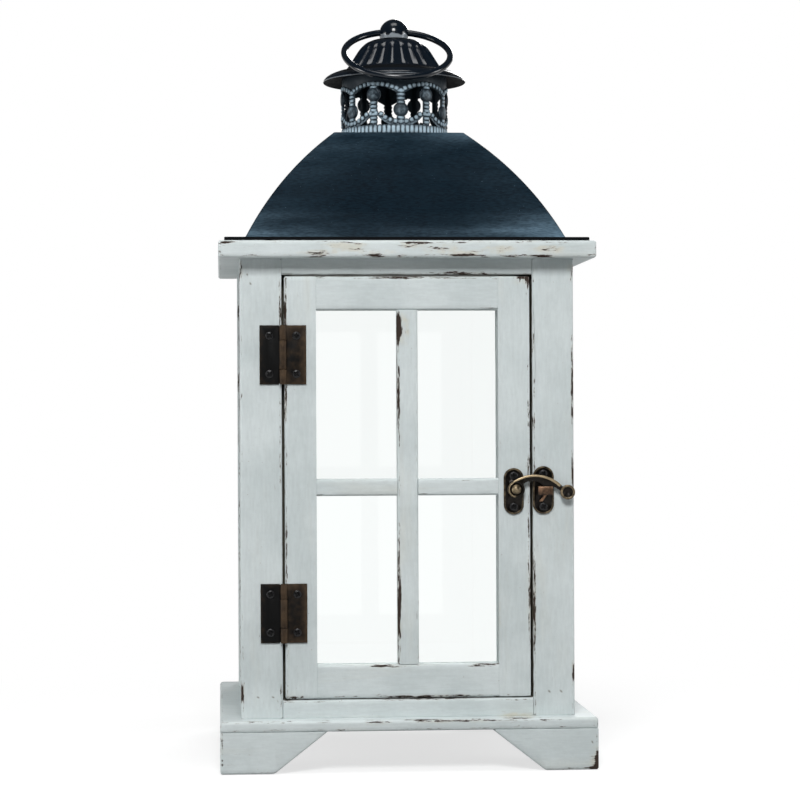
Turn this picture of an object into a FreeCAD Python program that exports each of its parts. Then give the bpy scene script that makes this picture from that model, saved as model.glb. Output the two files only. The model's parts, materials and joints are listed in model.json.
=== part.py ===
# Candle lantern: a painted wooden case on bracket feet, with a glazed front door on butt hinges,
# a swing latch, a curved sheet-metal roof, a pierced gallery, a fluted crown and a carrying ring.
# Millimetres. +Z is up, the door faces -Y, and the origin lies on the floor under the case's middle.
import FreeCAD
import Part
import Sketcher
import math
import os
import re
from FreeCAD import Placement, Rotation, Vector

sizes = [
    ("bodySide", 216, "case over its corner posts"),
    ("boardOver", 13.5, "base and cap boards beyond the case"),
    ("boardSide", "=bodySide + 2*boardOver", "side of the square base and cap boards"),
    ("baseThick", 7.2, "base board"),
    ("baseRound", 2, "round-over on the base board's top edge"),
    ("capThick", 11, "cap board"),
    ("capRound", 1.2, "eased edge of the cap board"),
    ("ventWide", 110, "vent through the cap board, diameter"),
    ("footHeight", 26.5, "bracket foot"),
    ("footWide", 68.5, "bracket foot where it meets the base"),
    ("footNarrow", 34.5, "bracket foot on the floor"),
    ("footThick", 12, "bracket foot's board"),
    ("postSide", 27, "corner post"),
    ("caseHeight", 295.8, "corner posts, base board to cap board"),
    ("sillHigh", 11.7, "rail under the door"),
    ("headHigh", 10.3, "rail over the door"),
    ("frontThick", 20, "depth of sill and head rail"),
    ("railLow", 32, "bottom rail of the left and right sides"),
    ("railHigh", 33, "top rail of the left and right sides"),
    ("rearLow", 13, "bottom rail of the rear"),
    ("rearHigh", 22, "top rail of the rear"),
    ("railThick", 14, "rails of a fixed side"),
    ("railReveal", 2, "rails stand back from the posts' outer faces"),
    ("grooveWide", 2.4, "glazing groove"),
    ("grooveDeep", 4, "glazing groove"),
    ("glassThick", 2, "window glass"),
    ("glassPlay", 0.5, "room between a pane's edge and its groove or rebate"),
    ("barWide", 13.5, "upright glazing bar"),
    ("barHigh", 11, "cross glazing bar"),
    ("doorSideGap", 1.5, "door to post"),
    ("doorTopGap", 1.0, "door to head rail"),
    ("doorFootGap", 0.7, "door to sill"),
    ("doorThick", 14, "door"),
    ("stileWide", 20.6, "door stile"),
    ("doorTopRail", 21.7, "door's top rail"),
    ("doorFootRail", 21.6, "door's bottom rail"),
    ("rebateWide", 4, "glass rebate at the back of the door"),
    ("rebateDeep", 6, "glass rebate at the back of the door"),
    ("stopWide", 7, "door stop on the right post, and 1 less on the left"),
    ("stopThick", 9, "door stops"),
    ("slack", 0.3, "room between pieces that move past each other"),
    ("fit", 0.05, "running fit on a pin, radial"),
    ("hingeTall", 38, "butt hinge"),
    ("leafWide", 15, "hinge leaf from the pin's axis"),
    ("leafThick", 1.2, "hinge leaf"),
    ("knuckle", 4.4, "hinge knuckle, diameter"),
    ("pinThick", 2.2, "hinge pin, diameter"),
    ("middleKnuckle", 18.4, "post leaf's knuckle"),
    ("hingeInTop", 50.6, "upper hinge's middle below the door's top"),
    ("hingeInFoot", 55.3, "lower hinge's middle above the door's foot"),
    ("leafScrewIn", 8.6, "leaf screws from the pin's axis"),
    ("leafScrewUp", 12.3, "leaf screws from the hinge's middle"),
    ("screwHead", 5.2, "screw head, diameter"),
    ("screwDome", 0.9, "screw head's height"),
    ("screwShank", 2.6, "screw shank, diameter"),
    ("screwLong", 9, "screw below its head"),
    ("plateThick", 1.2, "latch plate and keeper plate"),
    ("plateRim", 1.2, "raised rim round the latch and keeper plates"),
    ("dishDeep", 0.4, "plates and thumb tab, hollowed inside their rims"),
    ("latchIn", 10.9, "latch plate's middle from the door's edge"),
    ("latchDrop", 3.1, "latch plate's middle below the cross bar's"),
    ("latchWide", 13, "latch plate"),
    ("latchTall", 30, "latch plate"),
    ("latchScrewUp", 10, "latch screws from the plate's middle"),
    ("rivetOff", 1.3, "latch rivet right of the plate's middle"),
    ("rivetRise", 1.2, "latch rivet above the plate's middle"),
    ("rivetHead", 6.4, "rivet head, diameter"),
    ("rivetDome", 2, "rivet head's height"),
    ("rivetShank", 3, "rivet shank, diameter"),
    ("rivetLong", 8, "rivet in the door"),
    ("bossWide", 9.4, "raised seat of the latch arm, diameter"),
    ("bossHigh", 1.2, "raised seat of the latch arm"),
    ("armThick", 2.2, "latch arm"),
    ("eyeWide", 10.8, "latch arm's eye, diameter"),
    ("tabOut", 14.4, "thumb tab right of the keeper's lug"),
    ("armDrop", 1.9, "thumb tab below the rivet"),
    ("tabWide", 9.4, "thumb tab, diameter"),
    ("tabThick", 3, "thumb tab"),
    ("armBow", 24.2, "radius of the arm's upper edge"),
    ("armNotch", 9.8, "radius of the arm's lower edge beside the post"),
    ("armRest", 2.3, "arm's resting edge above the rivet"),
    ("keeperIn", 6.9, "keeper plate's middle from the post's inner face"),
    ("keeperRise", 0.6, "keeper plate's middle above the latch plate's"),
    ("keeperWide", 13.7, "keeper plate"),
    ("keeperTall", 31, "keeper plate"),
    ("keeperScrewUp", 10.6, "keeper screws from the plate's middle"),
    ("lugOff", 0.9, "keeper lug right of its plate's middle"),
    ("lugWide", 9.4, "keeper lug"),
    ("lugHigh", 5.8, "keeper lug"),
    ("lugOut", 4.6, "keeper lug in front of its plate"),
    ("flangeIn", 5.5, "roof flange short of the cap board's edge"),
    ("flangeSide", "=boardSide - 2*flangeIn", "roof flange lying on the cap board"),
    ("flangeLip", 10.5, "flange beyond the foot of the roof"),
    ("roofSheet", 1, "roof metal"),
    ("hoodBase", "=flangeSide - 2*flangeLip", "roof over its foot"),
    ("hoodRise", 78, "roof's height above the cap board"),
    ("hoodBow", 228, "radius of a roof panel"),
    ("nailHead", 4, "roof nail, diameter"),
    ("nailShank", 1.6, "roof nail, diameter"),
    ("nailLong", 8, "roof nail in the cap board"),
    ("nailIn", 5, "roof nails from the flange's edge"),
    ("galleryWide", 72, "gallery, diameter"),
    ("topLedge", 7.5, "roof's flat top beyond the gallery"),
    ("hoodTop", "=galleryWide + 2*topLedge", "roof's flat top"),
    ("gallerySheet", 1.2, "gallery metal"),
    ("galleryBand", 6.2, "closed band at the gallery's foot"),
    ("galleryHigh", 44.51, "gallery, roof to crown"),
    ("galleryLip", 3, "inward lip at the gallery's foot"),
    ("ribbonLow", 9.4, "lower ribbon's top at a low disc"),
    ("ribbonHigh", 15.2, "lower ribbon's top at a high disc"),
    ("ribbonWide", 2.4, "lower ribbon"),
    ("archLow", 28, "upper arch's underside at a low disc"),
    ("archHigh", 33, "upper arch's underside at a high disc"),
    ("postWide", 5, "gallery post"),
    ("discWide", 10, "disc on a gallery post, diameter"),
    ("discLow", 16.4, "low disc's middle"),
    ("discHigh", 27, "high disc's middle"),
    ("galleryRepeats", 6, "low and high posts round the gallery"),
    ("galleryTurn", 3, "front post off the middle, degrees"),
    ("brimOver", 13, "brim beyond the gallery"),
    ("brimWide", "=galleryWide + 2*brimOver", "crown's brim, diameter"),
    ("brimRise", 6.5, "brim's slope from edge to skirt"),
    ("crownSheet", 1.1, "crown metal"),
    ("skirtFoot", "=galleryWide*0.486", "skirt's radius at the brim"),
    ("skirtTop", "=skirtFoot*0.4", "flat top's radius"),
    ("skirtHigh", 22.56, "skirt from the brim to the flat top"),
    ("flutes", 28, "flutes round the skirt"),
    ("fluteDeep", 1.1, "depth of a flute"),
    ("ballWide", 20.4, "finial ball, diameter"),
    ("ballSeat", 3.9, "ball's middle above the crown"),
    ("studWide", 4, "finial stud, diameter"),
    ("studLong", 8, "finial stud below the crown's top"),
    ("nutWide", 7, "finial nut across its flats"),
    ("nutHigh", 3.2, "finial nut"),
    ("ringWire", 4, "carrying ring's wire, diameter"),
    ("ringWide", 71.8, "carrying ring through the wire's middle, diameter"),
    ("ringUp", 5.3, "ring's pivot above the crown"),
    ("ringClear", 2.539, "ring over the brim's edge, through the wire's middle"),
    ("ringLean", "=atan((ringUp + brimRise + skirtHigh - ringClear)/(brimWide/2))",
     "ring's rest below the level, degrees"),
    ("crossUp", "=footHeight + baseThick + caseHeight/2 + (sillHigh + doorFootGap + doorFootRail)/2"
                " - (headHigh + doorTopGap + doorTopRail)/2", "middle of the cross bars above the floor"),
    ("hingeUp", "=footHeight + baseThick + caseHeight - headHigh - doorTopGap - hingeInTop",
     "upper hinge's middle above the floor"),
    ("hingeLow", "=footHeight + baseThick + sillHigh + doorFootGap + hingeInFoot",
     "lower hinge's middle above the floor"),
    ("latchX", "=bodySide/2 - postSide - doorSideGap - latchIn", "latch plate's middle"),
    ("latchUp", "=crossUp - latchDrop", "latch plate's middle above the floor"),
    ("rivetX", "=latchX + rivetOff", "latch rivet"),
    ("rivetUp", "=latchUp + rivetRise", "latch rivet above the floor"),
    ("keeperX", "=bodySide/2 - postSide + keeperIn", "keeper plate's middle"),
    ("keeperUp", "=latchUp + keeperRise", "keeper plate's middle above the floor"),
    ("lugX", "=keeperX + lugOff", "keeper lug's middle"),
    ("armReach", "=lugX + tabOut - rivetX", "rivet to the thumb tab"),
]

doc = FreeCAD.newDocument("candle_lantern")
dim = doc.addObject("Spreadsheet::Sheet", "dim")
for row, (alias, amount, note) in enumerate(sizes, start=1):
    dim.set(f"A{row}", note)
    dim.set(f"B{row}", str(amount))
    dim.setAlias(f"B{row}", alias)
doc.recompute()
aliases = {alias for alias, amount, note in sizes}
subParts = []


def formula(text):
    """An expression over the sheet's cells, from one written with their bare names."""
    return re.sub(r"[A-Za-z]\w*", lambda word: ("dim." if word[0] in aliases else "") + word[0], text)


def size(text):
    return float(dim.evalExpression(formula(text)))


def bind(thing, **texts):
    for name, text in texts.items():
        thing.setExpression(name, formula(text))


def place(thing, at, turn=(), path="Placement"):
    """Puts an object at three expressions, after turns given as (axis, degrees)."""
    spin = Rotation()
    for axis, degrees in turn:
        spin = Rotation(Vector(*axis), degrees).multiply(spin)
    setattr(thing, path, Placement(Vector(), spin))
    for axis, text in zip("xyz", at):
        thing.setExpression(f"{path}.Base.{axis}", formula(text))


def keep(thing, label):
    thing.Label = label
    subParts.append(thing)
    return thing


def box(label, spans):
    """A plain board, from its six limits: (x0, x1), (y0, y1), (z0, z1)."""
    board = doc.addObject("Part::Box", label)
    for side, (low, high) in zip(("Length", "Width", "Height"), spans):
        board.setExpression(side, formula(f"({high}) - ({low})"))
    place(board, [low for low, high in spans])
    return board


def group(label, members):
    bundle = doc.addObject("Part::Compound", label)
    bundle.Links = members
    return keep(bundle, label)


def copies(label, master, places):
    """One node of identical pieces, as links to a master; each place is (x, y, z, turns)."""
    links = []
    for number, (x, y, z, turn) in enumerate(places, start=1):
        link = doc.addObject("App::Link", f"{label}_{number}")
        link.LinkedObject = master
        place(link, (x, y, z), turn, "LinkPlacement")
        links.append(link)
    return group(label, links)


def newBody(name, at=("0", "0", "0"), turn=()):
    body = doc.addObject("PartDesign::Body", name)
    place(body, at, turn)
    return body


def plane(body, role):
    return next(feature for feature in body.Origin.OriginFeatures if feature.Role == role)


def sketchOn(body, role, offset="0", swing="0"):
    """A sketch on one of the body's own planes, moved along its normal or swung about its upright axis."""
    sketch = body.newObject("Sketcher::SketchObject", body.Name + "_sketch")
    sketch.AttachmentSupport = (plane(body, role), "")
    sketch.MapMode = "FlatFace"
    if swing != "0":
        sketch.AttachmentOffset = Placement(Vector(), Rotation(Vector(0, 1, 0), size(swing)))
    if offset != "0":
        sketch.setExpression("AttachmentOffset.Base.z", formula(offset))
    return sketch


def freeSketch(name, turn=()):
    sketch = doc.addObject("Sketcher::SketchObject", name)
    spin = Rotation()
    for axis, degrees in turn:
        spin = Rotation(Vector(*axis), degrees).multiply(spin)
    sketch.Placement = Placement(Vector(), spin)
    return sketch


def pin(sketch, geometry, point, x, y):
    for kind, text in (("DistanceX", x), ("DistanceY", y)):
        index = sketch.addConstraint(Sketcher.Constraint(kind, -1, 1, geometry, point, size(text)))
        sketch.setExpression(f"Constraints[{index}]", formula(text))


def arcBetween(start, end, radius, left):
    """A minor arc from start to end that turns to the left or to the right; (arc, start's end of it)."""
    chord = end - start
    side = Vector(-chord.y, chord.x, 0).normalize()
    rise = math.sqrt(max(radius * radius - chord.Length ** 2 / 4, 0))
    centre = (start + end) * 0.5 + side * (rise if left else -rise)
    first, last = (start, end) if left else (end, start)
    angles = [math.atan2(spot.y - centre.y, spot.x - centre.x) for spot in (first, last)]
    circle = Part.Circle(centre, Vector(0, 0, 1), radius)
    return Part.ArcOfCircle(circle, angles[0], angles[1]), 1 if left else 2


def outline(sketch, points, arcs=None):
    """A closed outline through points given as expressions; arcs maps a side's number to (radius, left)."""
    arcs = arcs or {}
    spots = [Vector(size(x), size(y), 0) for x, y in points]
    sides = []
    for number, spot in enumerate(spots):
        target = spots[(number + 1) % len(spots)]
        if number in arcs:
            radius, left = arcs[number]
            arc, first = arcBetween(spot, target, size(radius), left)
            geometry = sketch.addGeometry(arc, False)
            index = sketch.addConstraint(Sketcher.Constraint("Radius", geometry, size(radius)))
            sketch.setExpression(f"Constraints[{index}]", formula(radius))
        else:
            geometry = sketch.addGeometry(Part.LineSegment(spot, target), False)
            first = 1
        sides.append((geometry, first, 3 - first))
    for number, (geometry, first, last) in enumerate(sides):
        follower = sides[(number + 1) % len(sides)]
        sketch.addConstraint(Sketcher.Constraint("Coincident", geometry, last, follower[0], follower[1]))
        pin(sketch, geometry, first, *points[number])
    return sketch


def rectangle(sketch, x0, x1, y0, y1):
    return outline(sketch, [(x0, y0), (x1, y0), (x1, y1), (x0, y1)])


def circle(sketch, x, y, radius):
    spot = Vector(size(x), size(y), 0)
    geometry = sketch.addGeometry(Part.Circle(spot, Vector(0, 0, 1), size(radius)), False)
    pin(sketch, geometry, 3, x, y)
    index = sketch.addConstraint(Sketcher.Constraint("Radius", geometry, size(radius)))
    sketch.setExpression(f"Constraints[{index}]", formula(radius))
    return sketch


def slot(sketch, x, y, wide, tall):
    """An upright slot with round ends."""
    radius = f"({wide})/2"
    half = f"(({tall}) - ({wide}))/2"
    middle = Vector(size(x), size(y), 0)
    reach = Vector(0, size(half), 0)
    across = Vector(size(radius), 0, 0)
    upper = Part.Circle(middle + reach, Vector(0, 0, 1), size(radius))
    lower = Part.Circle(middle - reach, Vector(0, 0, 1), size(radius))
    top = sketch.addGeometry(Part.ArcOfCircle(upper, 0, math.pi), False)
    bottom = sketch.addGeometry(Part.ArcOfCircle(lower, math.pi, 2 * math.pi), False)
    left = sketch.addGeometry(Part.LineSegment(middle + reach - across, middle - reach - across), False)
    right = sketch.addGeometry(Part.LineSegment(middle - reach + across, middle + reach + across), False)
    for joint in ((top, 2, left, 1), (left, 2, bottom, 1), (bottom, 2, right, 1), (right, 2, top, 1)):
        sketch.addConstraint(Sketcher.Constraint("Tangent", *joint))
    pin(sketch, top, 3, x, f"({y}) + {half}")
    pin(sketch, bottom, 3, x, f"({y}) - {half}")
    index = sketch.addConstraint(Sketcher.Constraint("Radius", top, size(radius)))
    sketch.setExpression(f"Constraints[{index}]", formula(radius))
    return sketch


def feature(body, kind, sketch, length, back=False, both=False):
    made = body.newObject(f"PartDesign::{kind}", f"{body.Name}_{kind.lower()}")
    made.Profile = sketch
    made.setExpression("Length", formula(length))
    made.Reversed = back
    if both:
        made.SideType = "Symmetric"
    return made


def pad(body, sketch, length, back=False, both=False):
    return feature(body, "Pad", sketch, length, back, both)


def pocket(body, sketch, length, back=False, both=False):
    """Cuts against the sketch's normal, or along it; a cut that takes nothing away is an error."""
    doc.recompute()
    before = body.Shape.Volume
    made = feature(body, "Pocket", sketch, length, back, both)
    doc.recompute()
    if body.Shape.Volume > before - 1e-3:
        raise RuntimeError(f"{made.Name} cuts nothing")
    return made


def revolve(body, sketch):
    made = body.newObject("PartDesign::Revolution", body.Name + "_turned")
    made.Profile = sketch
    made.ReferenceAxis = (sketch, ["V_Axis"])
    made.Angle = 360
    return made


def roundEdges(body, base, radius, wanted):
    doc.recompute()
    names = [f"Edge{number}" for number, edge in enumerate(base.Shape.Edges, start=1) if wanted(edge)]
    rounded = body.newObject("PartDesign::Fillet", body.Name + "_rounded")
    rounded.Base = (base, names)
    rounded.setExpression("Radius", formula(radius))
    return rounded


def levelAt(height):
    return lambda edge: all(abs(corner.Z - size(height)) < 1e-6 for corner in edge.Vertexes)


# Levels and faces that several pieces share.
upright = (0, 0, 1)
sideways = (1, 0, 0)
baseTop = "(footHeight + baseThick)"
capUnder = f"({baseTop} + caseHeight)"
capTop = f"({capUnder} + capThick)"
roofTop = f"({capTop} + hoodRise)"
crownFoot = f"({roofTop} + galleryHigh)"
front = "(0 - bodySide/2)"
innerHalf = "(bodySide/2 - postSide)"
sillTop = f"({baseTop} + sillHigh)"
headUnder = f"({capUnder} - headHigh)"
doorFoot = f"({sillTop} + doorFootGap)"
doorTop = f"({headUnder} - doorTopGap)"
doorHalf = f"({innerHalf} - doorSideGap)"
doorBack = f"({front} + doorThick)"
paneFoot = f"({doorFoot} + doorFootRail)"
paneTop = f"({doorTop} - doorTopRail)"
paneHalf = f"({doorHalf} - stileWide)"
crossLow = "(crossUp - barHigh/2)"
crossHigh = "(crossUp + barHigh/2)"
screwBore = "(screwShank/2 + fit)"

# Base board with a rounded top edge, and the cap board with its vent.
base = newBody("base_board", ("0", "0", "footHeight"))
slab = pad(base, rectangle(sketchOn(base, "XY_Plane"), "0 - boardSide/2", "boardSide/2",
                           "0 - boardSide/2", "boardSide/2"), "baseThick")
roundEdges(base, slab, "baseRound", levelAt("baseThick"))
keep(base, "base_board")

cap = newBody("cap_board", ("0", "0", capUnder))
capSketch = rectangle(sketchOn(cap, "XY_Plane"), "0 - boardSide/2", "boardSide/2", "0 - boardSide/2",
                      "boardSide/2")
circle(capSketch, "0", "0", "ventWide/2")
slab = pad(cap, capSketch, "capThick")
outer = levelAt("capThick")
roundEdges(cap, slab, "capRound", lambda edge: outer(edge) and edge.Curve.TypeId == "Part::GeomLine")
nailSpots = [(f"{x}*(flangeSide/2 - nailIn)", f"{y}*(flangeSide/2 - nailIn)")
             for x, y in ((-0.6, -1), (0.6, -1), (-0.6, 1), (0.6, 1), (-1, -0.6), (-1, 0.6), (1, -0.6),
                          (1, 0.6))]
drill = sketchOn(cap, "XY_Plane", "capThick")
for x, y in nailSpots:
    circle(drill, x, y, "nailShank/2 + fit")
pocket(cap, drill, "nailLong + fit")
keep(cap, "cap_board")

# Four bracket feet: an L in plan, each leg cut off along a slant.
corners = [("front_left", -1, -1, 0), ("front_right", 1, -1, 90), ("rear_right", 1, 1, 180),
           ("rear_left", -1, 1, 270)]
for name, xSign, ySign, degrees in corners:
    foot = newBody(f"foot_{name}", (f"{xSign}*boardSide/2", f"{ySign}*boardSide/2", "0"),
                   [(upright, degrees)])
    plan = [("0", "0"), ("footWide", "0"), ("footWide", "footThick"), ("footThick", "footThick"),
            ("footThick", "footWide"), ("0", "footWide")]
    pad(foot, outline(sketchOn(foot, "XY_Plane"), plan), "footHeight")
    slant = [("footNarrow", "0"), ("footWide", "0"), ("footWide", "footHeight")]
    pocket(foot, outline(sketchOn(foot, "XZ_Plane"), slant), "footThick")
    pocket(foot, outline(sketchOn(foot, "YZ_Plane"), slant), "footThick", back=True)
    keep(foot, f"foot_{name}")

# Corner posts, grooved for the panes of the fixed sides; the front pair is drilled for hinges and keeper.
grooveNear = "(railReveal + railThick/2 - grooveWide/2)"
grooveFar = "(railReveal + railThick/2 + grooveWide/2)"
grooveEnd = "(postSide - grooveDeep)"
hingeX = f"({innerHalf} - doorSideGap/2)"
for name, xSign, ySign, degrees in corners:
    post = newBody(f"post_{name}", (f"{xSign}*bodySide/2", f"{ySign}*bodySide/2", baseTop),
                   [(upright, degrees)])
    plan = [("0", "0"), ("postSide", "0")]
    if name != "front_left":
        plan += [("postSide", grooveNear), (grooveEnd, grooveNear), (grooveEnd, grooveFar),
                 ("postSide", grooveFar)]
    plan += [("postSide", "postSide")]
    if name != "front_right":
        plan += [(grooveFar, "postSide"), (grooveFar, grooveEnd), (grooveNear, grooveEnd),
                 (grooveNear, "postSide")]
    plan += [("0", "postSide")]
    pad(post, outline(sketchOn(post, "XY_Plane"), plan), "caseHeight")
    if name == "front_left":
        drill = sketchOn(post, "XZ_Plane")
        for middle in ("hingeUp", "hingeLow"):
            for sign in "+-":
                circle(drill, f"bodySide/2 - {hingeX} - leafScrewIn",
                       f"{middle} {sign} leafScrewUp - {baseTop}", screwBore)
        pocket(post, drill, "screwLong + fit")
    if name == "front_right":
        drill = sketchOn(post, "YZ_Plane")
        for sign in "+-":
            circle(drill, "bodySide/2 - keeperX", f"keeperUp {sign} keeperScrewUp - {baseTop}", screwBore)
        pocket(post, drill, "screwLong + fit", back=True)
    keep(post, f"post_{name}")

# Rails round the front opening.
keep(box("front_sill", [(f"0 - {innerHalf}", innerHalf), (front, f"{front} + frontThick"),
                        (baseTop, sillTop)]), "front_sill")
keep(box("front_head_rail", [(f"0 - {innerHalf}", innerHalf), (front, f"{front} + frontThick"),
                             (headUnder, capUnder)]),
     "front_head_rail")

# Rails of the three fixed sides, grooved along one edge for the glass.
grooveIn = "(railThick/2 - grooveWide/2)"
grooveOut = "(railThick/2 + grooveWide/2)"
sideFace = "(bodySide/2 - railReveal)"
sides = [("left", (f"0 - {sideFace}", innerHalf), 270), ("right", (sideFace, f"0 - {innerHalf}"), 90),
         ("rear", (innerHalf, sideFace), 180)]
for name, (x, y), degrees in sides:
    lowRail, highRail = ("rearLow", "rearHigh") if name == "rear" else ("railLow", "railHigh")
    low = newBody(f"{name}_bottom_rail", (x, y, baseTop), [(upright, degrees)])
    section = [("0", "0"), ("railThick", "0"), ("railThick", lowRail), (grooveOut, lowRail),
               (grooveOut, f"{lowRail} - grooveDeep"), (grooveIn, f"{lowRail} - grooveDeep"),
               (grooveIn, lowRail), ("0", lowRail)]
    pad(low, outline(sketchOn(low, "YZ_Plane"), section), f"2*{innerHalf}")
    keep(low, f"{name}_bottom_rail")
    high = newBody(f"{name}_top_rail", (x, y, f"{capUnder} - {highRail}"), [(upright, degrees)])
    section = [("0", "0"), (grooveIn, "0"), (grooveIn, "grooveDeep"), (grooveOut, "grooveDeep"),
               (grooveOut, "0"),
               ("railThick", "0"), ("railThick", highRail), ("0", highRail)]
    pad(high, outline(sketchOn(high, "YZ_Plane"), section), f"2*{innerHalf}")
    keep(high, f"{name}_top_rail")

# Panes of the fixed sides, held in the grooves, and the bars that divide the left and right ones.
paneMiddle = f"({sideFace} - railThick/2)"
paneReach = f"({innerHalf} + grooveDeep - glassPlay)"


def paneSpan(lowRail, highRail):
    """Foot and top of a pane that stands in the grooves of two rails."""
    return (f"{baseTop} + {lowRail} - grooveDeep + glassPlay",
            f"{capUnder} - {highRail} + grooveDeep - glassPlay")


barBack = f"({paneMiddle} + glassThick/2)"
barSpan = (f"{baseTop} + railLow", f"{capUnder} - railHigh")
keep(box("rear_glass", [(f"0 - {paneReach}", paneReach),
                        (f"{paneMiddle} - glassThick/2", f"{paneMiddle} + glassThick/2"),
                        paneSpan("rearLow", "rearHigh")]), "rear_glass")
for name, sign in (("left", "0 - "), ("right", "")):
    near, far = f"{sign}({paneMiddle} - glassThick/2)", f"{sign}({paneMiddle} + glassThick/2)"
    faces = (far, near) if name == "left" else (near, far)
    keep(box(f"{name}_glass", [faces, (f"0 - {paneReach}", paneReach), paneSpan("railLow", "railHigh")]),
         f"{name}_glass")
    back, face = f"{sign}{barBack}", f"{sign}{sideFace}"
    faces = (face, back) if name == "left" else (back, face)
    keep(box(f"{name}_upright_bar", [faces, ("0 - barWide/2", "barWide/2"), barSpan]),
         f"{name}_upright_bar")
    halves = [box(f"{name}_cross_front", [faces, (f"0 - {innerHalf}", "0 - barWide/2"),
                                          (crossLow, crossHigh)]),
              box(f"{name}_cross_rear", [faces, ("barWide/2", innerHalf), (crossLow, crossHigh)])]
    group(f"{name}_cross_bar", halves)

# Stops that the door closes against, on the front posts behind the door.
keep(box("door_stop", [(f"{innerHalf} - stopWide", innerHalf),
                       (f"{doorBack} + slack", f"{doorBack} + slack + stopThick"),
                       (sillTop, headUnder)]), "door_stop")
keep(box("hinge_stop", [(f"0 - {innerHalf}", f"0 - {innerHalf} + stopWide - 1"),
                        (f"{doorBack} + slack", f"{doorBack} + slack + stopThick"),
                        (sillTop, headUnder)]), "hinge_stop")

# Door: stiles with a stopped rebate, rails between them, glazing bars, glass and beads.
doorHigh = f"({doorTop} - {doorFoot})"
rebateSpan = ("doorFootRail - rebateWide", f"{doorHigh} - doorTopRail + rebateWide")
stileLeft = newBody("door_stile_left", (f"0 - {doorHalf}", front, doorFoot))
pad(stileLeft, rectangle(sketchOn(stileLeft, "XY_Plane"), "0", "stileWide", "0", "doorThick"), doorHigh)
pocket(stileLeft, rectangle(sketchOn(stileLeft, "XZ_Plane", "0 - doorThick"), "stileWide - rebateWide",
                            "stileWide",
                            *rebateSpan), "rebateDeep", back=True)
drill = sketchOn(stileLeft, "XZ_Plane")
for middle in ("hingeUp", "hingeLow"):
    for sign in "+-":
        circle(drill, f"{doorHalf} - {hingeX} + leafScrewIn", f"{middle} {sign} leafScrewUp - {doorFoot}",
               screwBore)
pocket(stileLeft, drill, "screwLong + fit")
keep(stileLeft, "door_stile_left")

stileRight = newBody("door_stile_right", (paneHalf, front, doorFoot))
pad(stileRight, rectangle(sketchOn(stileRight, "XY_Plane"), "0", "stileWide", "0", "doorThick"), doorHigh)
pocket(stileRight, rectangle(sketchOn(stileRight, "XZ_Plane", "0 - doorThick"), "0", "rebateWide",
                             *rebateSpan),
       "rebateDeep", back=True)
drill = sketchOn(stileRight, "XZ_Plane")
for sign in "+-":
    circle(drill, f"latchX - {paneHalf}", f"latchUp {sign} latchScrewUp - {doorFoot}", screwBore)
circle(drill, f"rivetX - {paneHalf}", f"rivetUp - {doorFoot}", "rivetShank/2 + fit")
pocket(stileRight, drill, "screwLong + fit")
keep(stileRight, "door_stile_right")

railFoot = newBody("door_rail_bottom", (f"0 - {paneHalf}", front, doorFoot))
section = [("0", "0"), ("doorThick", "0"), ("doorThick", "doorFootRail - rebateWide"),
           ("doorThick - rebateDeep", "doorFootRail - rebateWide"),
           ("doorThick - rebateDeep", "doorFootRail"), ("0", "doorFootRail")]
pad(railFoot, outline(sketchOn(railFoot, "YZ_Plane"), section), f"2*{paneHalf}")
keep(railFoot, "door_rail_bottom")
railTop = newBody("door_rail_top", (f"0 - {paneHalf}", front, paneTop))
section = [("0", "0"), ("doorThick - rebateDeep", "0"), ("doorThick - rebateDeep", "rebateWide"),
           ("doorThick", "rebateWide"), ("doorThick", "doorTopRail"), ("0", "doorTopRail")]
pad(railTop, outline(sketchOn(railTop, "YZ_Plane"), section), f"2*{paneHalf}")
keep(railTop, "door_rail_top")

glassFace = f"({doorBack} - rebateDeep)"
keep(box("door_upright_bar", [("0 - barWide/2", "barWide/2"), (front, glassFace), (paneFoot, paneTop)]),
     "door_upright_bar")
group("door_cross_bar", [box("door_cross_left",
                             [(f"0 - {paneHalf}", "0 - barWide/2"), (front, glassFace),
                              (crossLow, crossHigh)]),
                         box("door_cross_right",
                             [("barWide/2", paneHalf), (front, glassFace), (crossLow, crossHigh)])])
rebateHalf = f"({paneHalf} + rebateWide)"
keep(box("door_glass", [(f"0 - {rebateHalf} + glassPlay", f"{rebateHalf} - glassPlay"),
                        (glassFace, f"{glassFace} + glassThick"),
                        (f"{paneFoot} - rebateWide + glassPlay", f"{paneTop} + rebateWide - glassPlay")]),
                        "door_glass")
beadDepth = (f"{glassFace} + glassThick", doorBack)
beadSpan = (f"{paneFoot} - rebateWide", f"{paneTop} + rebateWide")
group("door_beads", [
    box("bead_left", [(f"0 - {rebateHalf}", f"0 - {paneHalf}"), beadDepth, beadSpan]),
    box("bead_right", [(paneHalf, rebateHalf), beadDepth, beadSpan]),
    box("bead_bottom", [(f"0 - {paneHalf}", paneHalf), beadDepth, (beadSpan[0], paneFoot)]),
    box("bead_top", [(f"0 - {paneHalf}", paneHalf), beadDepth, (paneTop, beadSpan[1])])])

# Screws, as turned solids that stand with their heads up, and then lie with their heads to the front.
screw = newBody("screw_master")
domeEdge = "screwDome/3"
domeRise = f"(screwDome - {domeEdge})"
turned = [("0", "0 - screwLong"), ("screwShank/2", "0 - screwLong"), ("screwShank/2", "0"),
          ("screwHead/2", "0"),
          ("screwHead/2", domeEdge), ("0", "screwDome")]
domeArc = {4: (f"(screwHead*screwHead/4 + {domeRise}*{domeRise})/(2*{domeRise})", True)}
revolve(screw, outline(sketchOn(screw, "XZ_Plane"), turned, domeArc))
toFront = [(sideways, 90)]

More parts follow.
